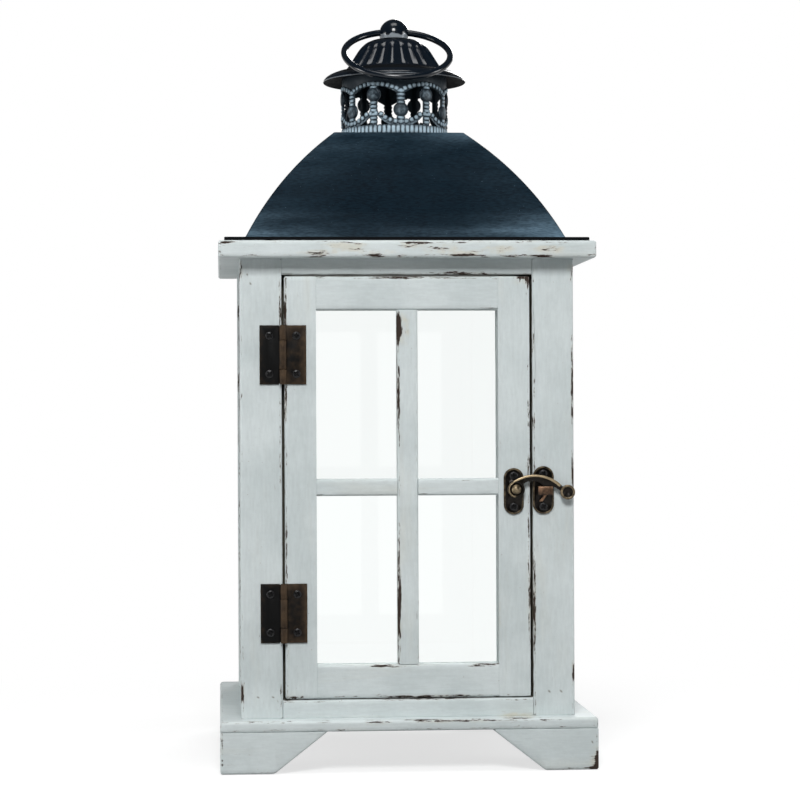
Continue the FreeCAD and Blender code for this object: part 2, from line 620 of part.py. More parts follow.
# Butt hinges: the post leaf has the middle knuckle, the door leaf the two outer ones, on one pin.
axisOut = "(knuckle/2 + slack)"
leafBack = f"0 - {axisOut}"
leafStart = "(knuckle/2 + slack)"
midHalf = "(middleKnuckle/2)"
endHalf = f"({midHalf} + slack)"
hingeY = f"({front} - {axisOut})"
for name, middle in (("upper", "hingeUp"), ("lower", "hingeLow")):
    at = (f"0 - {hingeX}", hingeY, middle)
    leaf = newBody(f"hinge_post_leaf_{name}", at)
    shape = [("0 - leafWide", "0 - hingeTall/2"), (f"0 - {leafStart}", "0 - hingeTall/2"),
             (f"0 - {leafStart}", f"0 - {midHalf}"),
             ("0", f"0 - {midHalf}"), ("0", midHalf), (f"0 - {leafStart}", midHalf),
             (f"0 - {leafStart}", "hingeTall/2"),
             ("0 - leafWide", "hingeTall/2")]
    pad(leaf, outline(sketchOn(leaf, "XZ_Plane", leafBack), shape), "leafThick")
    pad(leaf, circle(sketchOn(leaf, "XY_Plane"), "0", "0", "knuckle/2"), "middleKnuckle", both=True)
    pocket(leaf, circle(sketchOn(leaf, "XY_Plane"), "0", "0", "pinThick/2 + fit"), "hingeTall", both=True)
    drill = sketchOn(leaf, "XZ_Plane")
    for sign in "+-":
        circle(drill, "0 - leafScrewIn", f"0 {sign} leafScrewUp", screwBore)
    pocket(leaf, drill, "knuckle")
    keep(leaf, f"hinge_post_leaf_{name}")

    leaf = newBody(f"hinge_door_leaf_{name}", at)
    shape = [("0", "0 - hingeTall/2"), ("leafWide", "0 - hingeTall/2"), ("leafWide", "hingeTall/2"),
             ("0", "hingeTall/2"),
             ("0", endHalf), (leafStart, endHalf), (leafStart, f"0 - {endHalf}"), ("0", f"0 - {endHalf}")]
    pad(leaf, outline(sketchOn(leaf, "XZ_Plane", leafBack), shape), "leafThick")
    for offset in (endHalf, "0 - hingeTall/2"):
        pad(leaf, circle(sketchOn(leaf, "XY_Plane", offset), "0", "0", "knuckle/2"),
            f"hingeTall/2 - {endHalf}")
    pocket(leaf, circle(sketchOn(leaf, "XY_Plane"), "0", "0", "pinThick/2 + fit"), "hingeTall", both=True)
    drill = sketchOn(leaf, "XZ_Plane")
    for sign in "+-":
        circle(drill, "leafScrewIn", f"0 {sign} leafScrewUp", screwBore)
    pocket(leaf, drill, "knuckle")
    keep(leaf, f"hinge_door_leaf_{name}")

    hingePin = doc.addObject("Part::Cylinder", f"hinge_pin_{name}")
    bind(hingePin, Radius="pinThick/2", Height="hingeTall")
    place(hingePin, (f"0 - {hingeX}", hingeY, f"{middle} - hingeTall/2"))
    keep(hingePin, f"hinge_pin_{name}")
leafFront = f"{front} - leafThick"
for label, x in (("hinge_post_screws", f"0 - {hingeX} - leafScrewIn"),
                 ("hinge_door_screws", f"0 - {hingeX} + leafScrewIn")):
    copies(label, screw, [(x, leafFront, f"{middle} {sign} leafScrewUp", toFront)
                          for middle in ("hingeUp", "hingeLow") for sign in "+-"])

# Swing latch: plate with a raised seat on the door, rivet, arm, and the keeper on the post.
plateFront = f"({front} - plateThick)"
dishFloor = f"({plateFront} + dishDeep)"
plate = newBody("latch_plate", ("latchX", front, "latchUp"))
pad(plate, slot(sketchOn(plate, "XZ_Plane"), "0", "0", "latchWide", "latchTall"), "plateThick")
dish = sketchOn(plate, "XZ_Plane", "plateThick")
pocket(plate, slot(dish, "0", "0", "latchWide - 2*plateRim", "latchTall - 2*plateRim"), "dishDeep")
pad(plate, circle(sketchOn(plate, "XZ_Plane"), "rivetX - latchX", "rivetUp - latchUp", "bossWide/2"),
    "plateThick + bossHigh")
drill = circle(sketchOn(plate, "XZ_Plane"), "rivetX - latchX", "rivetUp - latchUp", "rivetShank/2 + fit")
for sign in "+-":
    circle(drill, "0", f"0 {sign} latchScrewUp", screwBore)
pocket(plate, drill, "plateThick + bossHigh", back=True)
keep(plate, "latch_plate")
copies("latch_screws", screw, [("latchX", dishFloor, f"latchUp {sign} latchScrewUp", toFront)
                               for sign in "+-"])

armBack = f"({plateFront} - bossHigh - slack)"
rivetSeat = "(plateThick + bossHigh + slack + armThick + slack)"
rivet = newBody("latch_rivet", ("rivetX", front, "rivetUp"), toFront)
turned = [("0", "0 - rivetLong"), ("rivetShank/2", "0 - rivetLong"), ("rivetShank/2", rivetSeat),
          ("rivetHead/2", rivetSeat),
          ("0", f"{rivetSeat} + rivetDome")]
domeArc = {3: ("(rivetHead*rivetHead/4 + rivetDome*rivetDome)/(2*rivetDome)", True)}
revolve(rivet, outline(sketchOn(rivet, "XZ_Plane"), turned, domeArc))
keep(rivet, "latch_rivet")

# The arm bows up from its eye, rests on the keeper's lug and ends in a round thumb tab.
arm = newBody("latch_arm", ("rivetX", armBack, "rivetUp"))
bow = [("0 - eyeWide*0.28", "eyeWide*0.41"), ("armReach - tabWide*0.44", "tabWide*0.48 - armDrop"),
       ("armReach", "0 - armDrop"),
       ("armReach - tabWide*0.5", "0 - armDrop + tabWide*0.1"),
       ("lugX + lugWide/2 - rivetX + slack", "armRest"),
       ("lugX - lugWide*0.12 - rivetX", "armRest"), ("eyeWide*0.39", "eyeWide*0.30"), ("0", "0")]
pad(arm, outline(sketchOn(arm, "XZ_Plane"), bow, {0: ("armBow", False), 5: ("armNotch", True)}), "armThick")
pad(arm, circle(sketchOn(arm, "XZ_Plane"), "0", "0", "eyeWide/2"), "armThick")
eyeRim = circle(sketchOn(arm, "XZ_Plane"), "0", "0", "eyeWide/2")
pad(arm, circle(eyeRim, "0", "0", "eyeWide/2 - plateRim"), "armThick + dishDeep")
pad(arm, circle(sketchOn(arm, "XZ_Plane"), "armReach", "0 - armDrop", "tabWide/2"), "tabThick")
hollow = sketchOn(arm, "XZ_Plane", "tabThick")
pocket(arm, circle(hollow, "armReach", "0 - armDrop", "tabWide/2 - plateRim"), "dishDeep*1.5")
pocket(arm, circle(sketchOn(arm, "XZ_Plane"), "0", "0", "rivetShank/2 + fit"), "tabThick", back=True)
keep(arm, "latch_arm")

keeper = newBody("keeper_plate", ("keeperX", front, "keeperUp"))
pad(keeper, slot(sketchOn(keeper, "XZ_Plane"), "0", "0", "keeperWide", "keeperTall"), "plateThick")
dish = sketchOn(keeper, "XZ_Plane", "plateThick")
pocket(keeper, slot(dish, "0", "0", "keeperWide - 2*plateRim", "keeperTall - 2*plateRim"), "dishDeep")
lugTop = "(rivetUp + armRest - slack - keeperUp)"
lug = pad(keeper, rectangle(sketchOn(keeper, "XZ_Plane"), "lugX - lugWide/2 - keeperX",
                            "lugX + lugWide/2 - keeperX",
                            f"{lugTop} - lugHigh", lugTop), "plateThick + lugOut")
tang = [("0 - lugWide*0.32", f"{lugTop} - lugHigh*1.7"), ("0 - lugWide*0.08", f"{lugTop} - lugHigh*1.7"),
        ("lugWide*0.24", f"{lugTop} - lugHigh"), ("0", f"{lugTop} - lugHigh")]
pad(keeper, outline(sketchOn(keeper, "XZ_Plane"), tang), "plateThick + lugOut/3")
drill = sketchOn(keeper, "XZ_Plane")
for sign in "+-":
    circle(drill, "0", f"0 {sign} keeperScrewUp", screwBore)
pocket(keeper, drill, "plateThick + lugOut", back=True)
keep(keeper, "keeper_plate")
copies("keeper_screws", screw, [("keeperX", dishFloor, f"keeperUp {sign} keeperScrewUp", toFront)
                                for sign in "+-"])

# Roof: four bowed panels, from two crossing profiles, hollowed, on a flange, with a vent in its flat top.
def hood(name, half, top, rise):
    crossed = []
    for direction, turn in (("x", [(sideways, 90)]), ("y", [(sideways, 90), (upright, 90)])):
        profile = freeSketch(f"{name}_{direction}_profile", turn)
        points = [(f"0 - {half}", "0"), (half, "0"), (top, rise), (f"0 - {top}", rise)]
        outline(profile, points, {1: ("hoodBow", True), 3: ("hoodBow", True)})
        prism = doc.addObject("Part::Extrusion", f"{name}_{direction}_prism")
        prism.Base = profile
        prism.DirMode = "Normal"
        prism.Solid = True
        prism.Symmetric = True
        bind(prism, LengthFwd="flangeSide")
        crossed.append(prism)
    vault = doc.addObject("Part::MultiCommon", f"{name}_vault")
    vault.Shapes = crossed
    return vault


outside = hood("roof_outside", "(hoodBase/2)", "(hoodTop/2)", "hoodRise")
inside = hood("roof_inside", "(hoodBase/2 - roofSheet*1.2)", "(hoodTop/2 - roofSheet*1.2)",
              "(hoodRise - roofSheet)")
flange = box("roof_flange", [("0 - flangeSide/2", "flangeSide/2"), ("0 - flangeSide/2", "flangeSide/2"),
                             ("0", "roofSheet")])
roofVent = doc.addObject("Part::Cylinder", "roof_vent")
bind(roofVent, Radius="galleryWide/2 - gallerySheet - galleryLip", Height="hoodRise*2")
nailHoles = []
for number, (x, y) in enumerate(nailSpots, start=1):
    hole = doc.addObject("Part::Cylinder", f"nail_hole_{number}")
    bind(hole, Radius="nailShank/2 + fit", Height="roofSheet*3")
    place(hole, (x, y, "0 - roofSheet"))
    nailHoles.append(hole)
sheet = doc.addObject("Part::MultiFuse", "roof_sheet")
sheet.Shapes = [outside, flange]
openings = doc.addObject("Part::MultiFuse", "roof_openings")
openings.Shapes = [inside, roofVent] + nailHoles
roof = doc.addObject("Part::Cut", "roof_shell")
roof.Base = sheet
roof.Tool = openings
place(roof, ("0", "0", capTop))
keep(roof, "roof_shell")

nail = newBody("nail_master")
nailTip = "0 - roofSheet - nailLong"
turned = [("0", nailTip), ("nailShank/2", nailTip), ("nailShank/2", "0"), ("nailHead/2", "0"),
          ("nailHead/2", "roofSheet*0.3"), ("0", "roofSheet*0.8")]
revolve(nail, outline(sketchOn(nail, "XZ_Plane"), turned))
copies("roof_nails", nail, [(x, y, f"{capTop} + roofSheet", ()) for x, y in nailSpots])

# Pierced gallery: a tube with a lipped foot; between a low and a high post lie one large and one small
# opening, shaped by the discs on the posts and by the swags of the ribbons.
tubeOut = "(galleryWide/2)"
tubeIn = "(galleryWide/2 - gallerySheet)"
gallery = newBody("gallery", ("0", "0", roofTop), [(upright, size("galleryTurn"))])
ringShape = [(f"{tubeIn} - galleryLip", "0"), (tubeOut, "0"), (tubeOut, "galleryHigh"),
             (tubeIn, "galleryHigh"),
             (tubeIn, "gallerySheet"), (f"{tubeIn} - galleryLip", "gallerySheet")]
revolve(gallery, outline(sketchOn(gallery, "XZ_Plane"), ringShape))
step = "(180/galleryRepeats)"
postAt = f"({tubeOut}*sin({step}/2))"
edge = f"({postAt} - postWide/2)"
discCut = f"sqrt(discWide*discWide/4 - postWide*postWide/4)"
pierced = []
for mirror, swing in (("", f"{step}/2"), ("0 - ", f"0 - {step}/2")):
    left, right = f"{mirror}(0 - {edge})", f"{mirror}{edge}"
    large = [(left, "ribbonLow"), (right, "ribbonHigh"), (right, f"discHigh - {discCut}"),
             (right, f"discHigh + {discCut}"),
             (right, "archHigh"), (left, "archLow"), (left, f"discLow + {discCut}"),
             (left, f"discLow - {discCut}")]
    turnsLeft = mirror == ""
    bends = {0: ("galleryWide*0.28", turnsLeft), 2: ("discWide/2", not turnsLeft),
             4: ("galleryWide*0.5", turnsLeft),
             6: ("discWide/2", not turnsLeft)}
    sketch = outline(sketchOn(gallery, "XZ_Plane", swing=swing), large, bends)
    small = [(f"{mirror}(0 - {edge}*0.35)", "galleryBand"), (right, "galleryBand"),
             (right, "ribbonHigh - ribbonWide")]
    outline(sketch, small, {2: ("galleryWide*0.28 + ribbonWide", not turnsLeft)})
    pierced.append(pocket(gallery, sketch, "galleryWide", back=True))
ringOf = gallery.newObject("PartDesign::PolarPattern", "gallery_pattern")
ringOf.Originals = pierced
ringOf.Axis = (next(item for item in gallery.Origin.OriginFeatures if item.Role == "Z_Axis"), [""])
ringOf.Angle = 360
bind(ringOf, Occurrences="galleryRepeats")
gallery.Tip = ringOf
keep(gallery, "gallery")

# Crown: a sloping brim and a fluted bell, hollow, drilled for the finial's stud.
tubeContact = f"(brimRise*({tubeOut} - skirtFoot)/(brimWide/2 - skirtFoot))"
brimEdge = f"({crownFoot} + {tubeContact} + crownSheet*1.1 - brimRise)"
crownTop = f"({brimEdge} + brimRise + skirtHigh)"
brim = newBody("crown_brim", ("0", "0", brimEdge))
slope = [("skirtFoot - fluteDeep - crownSheet*2", "brimRise"),
         ("skirtFoot - fluteDeep - crownSheet*2", "brimRise - crownSheet"),
         ("skirtFoot", "brimRise - crownSheet"), ("brimWide/2", "0 - crownSheet"), ("brimWide/2", "0"),
         ("skirtFoot", "brimRise")]
revolve(brim, outline(sketchOn(brim, "XZ_Plane"), slope))

bellLevels = [(0, 1), (0.27, 0.8), (0.46, 0.63), (0.85, 0.33), (0.96, 0.11), (1, 0)]


def bellRadius(share):
    return size("skirtTop") + (size("skirtFoot") - size("skirtTop")) * share


def fluted(radius, height, deep, count):
    """One closed ring of hollow flutes between sharp ridges."""
    arcs = []
    for number in range(count):
        spots = []
        for angle, reach in ((number, radius), (number + 0.5, radius - deep), (number + 1, radius)):
            turn = 2 * math.pi * angle / count
            spots.append(Vector(reach * math.cos(turn), reach * math.sin(turn), height))
        arcs.append(Part.Arc(*spots).toShape())
    return Part.Wire(arcs)


bellRings = [fluted(bellRadius(share), size("skirtHigh") * level,
                    size("fluteDeep") * (0.45 + 0.55 * share), int(size("flutes")))
             for level, share in bellLevels]
bell = doc.addObject("Part::Feature", "crown_bell")
bell.Shape = Part.makeLoft(bellRings, True, True)
place(bell, ("0", "0", f"{brimEdge} + brimRise"))
bellCore = newBody("crown_core", ("0", "0", f"{brimEdge} + brimRise"))
wall = "(fluteDeep + crownSheet)"
core = [("0", "0 - crownSheet*3")] + [(f"skirtTop + (skirtFoot - skirtTop)*{share} - {wall}",
                                       f"skirtHigh*{level} - crownSheet")
                                      for level, share in bellLevels] + [("0", "skirtHigh - crownSheet")]
core[1] = (core[1][0], "0 - crownSheet*3")
revolve(bellCore, outline(sketchOn(bellCore, "XZ_Plane"), core))
studHole = doc.addObject("Part::Cylinder", "crown_stud_hole")
bind(studHole, Radius="studWide/2 + fit", Height="crownSheet*4")
place(studHole, ("0", "0", f"{crownTop} - crownSheet*2"))
shell = doc.addObject("Part::MultiFuse", "crown_solid")
shell.Shapes = [brim, bell]
hollow = doc.addObject("Part::MultiFuse", "crown_hollow")
hollow.Shapes = [bellCore, studHole]
crown = doc.addObject("Part::Cut", "crown")
crown.Base = shell
crown.Tool = hollow
keep(crown, "crown")

# Finial: a ball with a flat seat and a stud, drilled across for the ring; a nut holds it under the crown.
ringSag = "(ballWide*ballWide/(8*ringWide/2)/2)"
ringBore = f"(ringWire/2 + {ringSag} + slack)"
finial = newBody("finial", ("0", "0", crownTop))
turned = [("0", "0 - studLong"), ("studWide/2", "0 - studLong"), ("studWide/2", "0"),
          ("sqrt(ballWide*ballWide/4 - ballSeat*ballSeat)", "0"), ("ballWide/2", "ballSeat"),
          ("0", "ballSeat + ballWide/2")]
revolve(finial, outline(sketchOn(finial, "XZ_Plane"), turned,
                        {3: ("ballWide/2", True), 4: ("ballWide/2", True)}))
pocket(finial, circle(sketchOn(finial, "YZ_Plane"), "0", "ringUp", ringBore), "ballWide*2", both=True)
keep(finial, "finial")

nutBlock = doc.addObject("Part::Prism", "finial_nut_block")
nutBlock.Polygon = 6
bind(nutBlock, Circumradius="nutWide/sqrt(3)", Height="nutHigh")
nutBore = doc.addObject("Part::Cylinder", "finial_nut_bore")
bind(nutBore, Radius="studWide/2 + fit", Height="nutHigh")
nut = doc.addObject("Part::Cut", "finial_nut")
nut.Base = nutBlock
nut.Tool = nutBore
place(nut, ("0", "0", f"{crownTop} - crownSheet - nutHigh"))
keep(nut, "finial_nut")

# Carrying ring, threaded through the ball and leaning forward on the crown.
ring = doc.addObject("Part::Torus", "carry_ring")
bind(ring, Radius1="ringWide/2", Radius2="ringWire/2")
reach = f"(ringWide/2 - {ringSag})"
place(ring, ("0", f"0 - {reach}*cos(ringLean)", f"{crownTop} + ringUp - {reach}*sin(ringLean)"),
      [(sideways, size("ringLean"))])
keep(ring, "carry_ring")

doc.recompute()
faults = [thing.Name for thing in doc.Objects if {"Invalid", "Error"} & set(thing.State)]
faults += [part.Label for part in subParts
           if part.Shape.isNull() or not part.Shape.isValid() or not part.Shape.Solids]
if faults:
    raise RuntimeError("not sound: " + ", ".join(faults))
os.makedirs("parts", exist_ok=True)
for part in subParts:
    part.Shape.exportStep(f"parts/{part.Label}.step")
print(len(subParts), "nodes,", sum(len(part.Shape.Solids) for part in subParts), "solids")
for name, text in (("roof top", roofTop), ("brim edge", brimEdge), ("crown top", crownTop)):
    print(name, round(size(text), 2))
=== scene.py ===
import bpy
import bmesh
import json
from math import asin, atan2, copysign, cos, exp, hypot, pi, radians, sin, sqrt
from mathutils import Matrix, Vector, noise


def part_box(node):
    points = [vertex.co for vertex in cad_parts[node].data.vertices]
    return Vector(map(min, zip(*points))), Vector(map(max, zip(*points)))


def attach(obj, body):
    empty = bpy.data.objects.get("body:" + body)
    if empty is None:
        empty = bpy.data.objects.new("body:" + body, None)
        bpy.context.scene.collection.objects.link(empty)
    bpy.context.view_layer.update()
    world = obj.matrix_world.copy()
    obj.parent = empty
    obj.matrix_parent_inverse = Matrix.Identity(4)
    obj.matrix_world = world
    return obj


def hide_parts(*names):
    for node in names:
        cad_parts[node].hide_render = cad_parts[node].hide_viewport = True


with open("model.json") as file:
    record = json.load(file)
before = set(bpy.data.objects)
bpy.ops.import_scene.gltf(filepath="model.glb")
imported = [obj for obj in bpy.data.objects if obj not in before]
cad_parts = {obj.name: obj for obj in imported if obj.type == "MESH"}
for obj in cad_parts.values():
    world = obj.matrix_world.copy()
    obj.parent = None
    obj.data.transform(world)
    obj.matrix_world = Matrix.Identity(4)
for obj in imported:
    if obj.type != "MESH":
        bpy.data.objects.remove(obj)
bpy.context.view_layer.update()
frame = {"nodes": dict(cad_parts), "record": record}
scene = bpy.context.scene
scene.view_settings.view_transform = "Standard"
cadNodes = frame["nodes"]
bodyOf = {node: body for body, members in frame["record"]["behaviour"]["bodies"].items() for node in members}
slotOf = {part["node"]: part["material_slot"] for part in frame["record"]["subparts"]}
turn = 2 * pi
metre, millimetre = 1000.0, 0.001  # shapes are drawn in millimetres and scaled once
signs = {"*": "MULTIPLY", "+": "ADD", "-": "SUBTRACT", "/": "DIVIDE", "*+": "MULTIPLY_ADD", "abs": "ABSOLUTE",
         "max": "MAXIMUM"}
print("frame loaded,", len(cadNodes), "nodes")


# Node helpers: one call makes a node, sets its options and fills or links its sockets.
def fill(tree, sockets, values):
    for key, value in values.items():
        if isinstance(value, bpy.types.NodeSocket):
            tree.links.new(value, sockets[key])
        else:
            sockets[key].default_value = value


def put(tree, kind, sockets=None, **options):
    node = tree.nodes.new(kind)
    for key, value in options.items():
        setattr(node, key, value)
    fill(tree, node.inputs, sockets or {})
    return node


def calc(tree, sign, *values, clamp=False):
    return put(tree, "ShaderNodeMath", dict(enumerate(values)), operation=signs[sign], use_clamp=clamp).outputs[0]


def span(tree, value, low, high, toLow=0.0, toHigh=1.0):  # smooth step from low to high
    limits = {"Value": value, "From Min": low, "From Max": high, "To Min": toLow, "To Max": toHigh}
    return put(tree, "ShaderNodeMapRange", limits, interpolation_type="SMOOTHSTEP").outputs["Result"]


def blend(tree, share, first, second, kind="MIX"):
    return put(tree, "ShaderNodeMix", {0: share, 6: first, 7: second}, data_type="RGBA", blend_type=kind).outputs[2]


def cloud(tree, place, scale, detail=3.0, rough=0.55, skew=0.0):
    values = {"Vector": place, "Scale": scale, "Detail": detail, "Roughness": rough, "Distortion": skew}
    return put(tree, "ShaderNodeTexNoise", values).outputs["Fac"]


def stretched(tree, place, factors):
    return put(tree, "ShaderNodeVectorMath", {0: place, 1: factors}, operation="MULTIPLY").outputs[0]


def newGroup(name, inputs, outputs):  # every group takes a place first
    group = bpy.data.node_groups.new(name, "ShaderNodeTree")
    for label, kind, value in [("Place", "Vector", None)] + inputs:
        socket = group.interface.new_socket(label, in_out="INPUT", socket_type="NodeSocket" + kind)
        if value is not None:
            socket.default_value = value
    for label, kind in outputs:
        group.interface.new_socket(label, in_out="OUTPUT", socket_type="NodeSocket" + kind)
    return group, put(group, "NodeGroupInput").outputs, put(group, "NodeGroupOutput").inputs


def placed(tree, group, sockets):
    return put(tree, "ShaderNodeGroup", sockets, node_tree=group).outputs


def attribute(tree, name):
    return put(tree, "ShaderNodeAttribute", attribute_name=name).outputs["Fac"]


def emptyTree(owner):
    owner.use_nodes = True
    owner.node_tree.nodes.clear()
    return owner.node_tree


def newMaterial(name):
    material = bpy.data.materials.new(name)
    tree = emptyTree(material)
    shader = put(tree, "ShaderNodeBsdfPrincipled")
    put(tree, "ShaderNodeOutputMaterial", {"Surface": shader.outputs[0]})
    return material, tree, shader, put(tree, "ShaderNodeTexCoord").outputs["Object"]


def bump(tree, height, distance, strength):
    return put(tree, "ShaderNodeBump", {"Height": height, "Distance": distance, "Strength": strength}).outputs[0]


# Group: streaks drawn out along one direction, with soft clouds over them.
def makeStreaks():
    group, given, result = newGroup("drawnStreaks", [("Stretch", "Vector", (1, 1, 1)), ("Fine", "Float", 900.0),
                                                     ("Broad", "Float", 14.0)],
                                    [("Streak", "Float"), ("Cloud", "Float")])
    drawn = stretched(group, given["Place"], given["Stretch"])
    fill(group, result, {"Streak": cloud(group, drawn, given["Fine"], 3.0, 0.5),
                         "Cloud": cloud(group, drawn, given["Broad"], 4.0, 0.5)})
    return group


# Group: paint lost along the arrises and where the wear attribute says, with a stained fringe.
def makeChips():
    look = {"patch": 430.0, "ragged": 1700.0, "speck": 520.0, "lineAt": 1.3, "lineWide": 0.8, "near": 3.2,
            "lineShare": 0.16, "patchShare": 1.1, "raggedShare": 0.75, "nearShare": 0.74, "flatShare": 0.26,
            "wearShare": 0.46, "chip": (0.37, 0.4), "fringe": (0.27, 0.41), "speckSpan": (0.745, 0.785)}
    group, given, result = newGroup("paintChips", [("Stretch", "Vector", (1, 1, 1)), ("Edge", "Float", 9.0),
                                                   ("Wear", "Float", 0.0)],
                                    [("Chip", "Float"), ("Fringe", "Float"), ("Speck", "Float")])
    drawn = stretched(group, given["Place"], given["Stretch"])
    within = lambda gap, reach: calc(group, "-", 1.0, calc(group, "/", gap, reach), clamp=True)
    centred = lambda size, *options: calc(group, "-", cloud(group, drawn, size, *options), 0.5)
    offset = calc(group, "abs", calc(group, "-", given["Edge"], look["lineAt"]))
    score = calc(group, "*", within(offset, look["lineWide"]), look["lineShare"])
    score = calc(group, "*+", centred(look["patch"], 5.0, 0.62, 0.3), look["patchShare"], score)
    score = calc(group, "*+", centred(look["ragged"], 4.0, 0.65, 0.2), look["raggedShare"], score)
    reach = calc(group, "*+", within(given["Edge"], look["near"]), look["nearShare"], look["flatShare"])
    score = calc(group, "*+", calc(group, "*", given["Wear"], reach), look["wearShare"], score)
    speck = cloud(group, given["Place"], look["speck"], 2.0, 0.5)
    fill(group, result, {"Chip": span(group, score, *look["chip"]), "Fringe": span(group, score, *look["fringe"]),
                         "Speck": span(group, speck, *look["speckSpan"])})
    return group


# Group: dark metal rubbed bright on what stands proud, with uneven patina. Where a piece sets it, the same lightening
# is a painted highlight, and a negative value is a painted shade.
def makeRubAndPaintedLight():
    look = {"fine": 2600.0, "wideShare": 1.6, "fineShare": 0.5, "rubSpan": (0.15, 0.95)}
    group, given, result = newGroup("rubAndPaintedLightMetal", [("Grain", "Float", 300.0), ("RubAndPaintedLight", "Float", 0.0),
                                                    ("Amount", "Float", 1.0), ("Uneven", "Float", 1.0),
                                                    ("Dark", "Color", None), ("Light", "Color", None)],
                                    [("Color", "Color"), ("Rough", "Float"), ("Height", "Float")])
    wide = cloud(group, given["Place"], given["Grain"], 4.0, 0.5)
    fine = cloud(group, given["Place"], look["fine"], 2.0)
    loose = calc(group, "-", calc(group, "*", fine, look["fineShare"]), look["fineShare"] / 2)
    loose = calc(group, "*+", calc(group, "-", wide, 0.5), look["wideShare"], loose)
    uneven = calc(group, "*+", loose, given["Uneven"], given["RubAndPaintedLight"])
    share = calc(group, "*", span(group, uneven, *look["rubSpan"]), given["Amount"], clamp=True)
    fill(group, result, {"Color": blend(group, share, given["Dark"], given["Light"]),
                         "Rough": span(group, wide, 0.3, 0.7), "Height": fine})
    return group


streakGroup, chipGroup, rubAndPaintedLightGroup = makeStreaks(), makeChips(), makeRubAndPaintedLight()

paintLook = {"cool": (0.61, 0.665, 0.668, 1), "grey": (0.525, 0.582, 0.585, 1), "warm": (0.60, 0.615, 0.57, 1),
             "cream": (0.57, 0.565, 0.49, 1), "fringe": (0.20, 0.125, 0.085, 1), "wood": (0.030, 0.019, 0.014, 1),
             "bareAndShade": (0.15, 0.138, 0.105, 1), "drawStreaks": 0.16, "drawChips": 0.15, "fine": 700.0, "broad": 60.0,
             "clouds": 20.0, "stains": 150.0, "peel": 420.0, "rough": (0.52, 0.8), "specular": 0.3, "relief": 0.0003}


def paintMaterial(axis):  # worn white paint, brushed along one axis
    look = paintLook
    material, tree, shader, place = newMaterial("wornPaint" + axis)
    drawn = lambda factor: [factor if name == axis else 1.0 for name in "XYZ"]
    streak = placed(tree, streakGroup, {"Place": place, "Stretch": drawn(look["drawStreaks"]), "Fine": look["fine"],
                                        "Broad": look["broad"]})
    wear = attribute(tree, "wear")
    chips = placed(tree, chipGroup, {"Place": place, "Stretch": drawn(look["drawChips"]), "Wear": wear,
                                     "Edge": attribute(tree, "edgeGap")})
    soft = span(tree, cloud(tree, place, look["clouds"], 4.0), 0.35, 0.7)
    colour = blend(tree, soft, look["cool"], look["grey"])
    colour = blend(tree, span(tree, streak["Cloud"], 0.55, 0.78, 0.0, 0.5), colour, look["warm"])
    stain = span(tree, cloud(tree, place, look["stains"]), 0.35, 0.65, 0.1, 0.8)
    colour = blend(tree, calc(tree, "*", span(tree, wear, 0.35, 1.5), stain), colour, look["cream"])
    peel = cloud(tree, place, look["peel"])
    shade = calc(tree, "+", span(tree, streak["Streak"], 0.25, 0.75, -0.04, 0.034),
                 span(tree, peel, 0.3, 0.7, 0.985, 1.015))
    shade = put(tree, "ShaderNodeCombineColor", {0: shade, 1: shade, 2: shade}).outputs[0]
    colour = blend(tree, 1.0, colour, shade, "MULTIPLY")
    # the last layer is bare wood at the nail holes and in the gap round the door, and painted shade in the gap and on
    # the stops' fronts
    for share, layer in ((calc(tree, "*", chips["Speck"], 0.5), "fringe"),
                         (calc(tree, "*", chips["Fringe"], 0.55), "fringe"), (chips["Chip"], "wood"),
                         (attribute(tree, "bareAndShade"), "bareAndShade")):
        colour = blend(tree, share, colour, look[layer])
    height = calc(tree, "*+", streak["Streak"], 0.3, calc(tree, "*", peel, 0.35))
    height = calc(tree, "*+", chips["Chip"], -1.0, height)
    fill(tree, shader.inputs, {"Base Color": colour, "Specular IOR Level": look["specular"],
                               "Roughness": span(tree, chips["Chip"], 0.0, 1.0, *look["rough"]),
                               "Normal": bump(tree, height, look["relief"], 0.6)})
    return material


def roofMaterial():  # satin slate blue, brushed round the hood, paler at the bend
    look = {"dark": (0.0008, 0.0046, 0.0090, 1), "slate": (0.0028, 0.0118, 0.0205, 1),
            "pale": (0.125, 0.20, 0.265, 1), "hem": (0.004, 0.005, 0.006, 1), "draw": (0.22, 0.22, 1.0),
            "fine": 1300.0, "broad": 60.0, "clouds": 26.0, "flecks": 700.0, "rough": (0.4, 0.52), "specular": 0.03,
            "relief": 0.0001}
    material, tree, shader, place = newMaterial("slateRoof")
    streak = placed(tree, streakGroup, {"Place": place, "Stretch": look["draw"], "Fine": look["fine"],
                                        "Broad": look["broad"]})
    colour = blend(tree, span(tree, streak["Streak"], 0.25, 0.78), look["dark"], look["slate"])
    soft = span(tree, cloud(tree, place, look["clouds"], 4.0), 0.45, 0.75, 0.0, 0.45)
    colour = blend(tree, soft, colour, look["slate"])
    # pale layer: worn patina with a painted highlight along the bend, at the lower hips and at the top edge
    rubAndPaintedLight = calc(tree, "*", attribute(tree, "rubAndPaintedLight"), span(tree, streak["Cloud"], 0.3, 0.66, 0.15, 1.0))
    rubAndPaintedLight = calc(tree, "*", rubAndPaintedLight, span(tree, streak["Streak"], 0.2, 0.7, 0.5, 1.0))
    fleck = span(tree, cloud(tree, place, look["flecks"], 2.0), 0.74, 0.78, 0.0, 0.5)
    # dark layer: painted shade on the flange, and a darker strip along each hip
    for share, layer in ((rubAndPaintedLight, "pale"), (fleck, "pale"), (attribute(tree, "bareAndShade"), "hem")):
        colour = blend(tree, share, colour, look[layer])
    fill(tree, shader.inputs, {"Base Color": colour, "Specular IOR Level": look["specular"],
                               "Roughness": span(tree, streak["Cloud"], 0.3, 0.7, *look["rough"]),
                               "Normal": bump(tree, streak["Streak"], look["relief"], 0.4)})
    return material


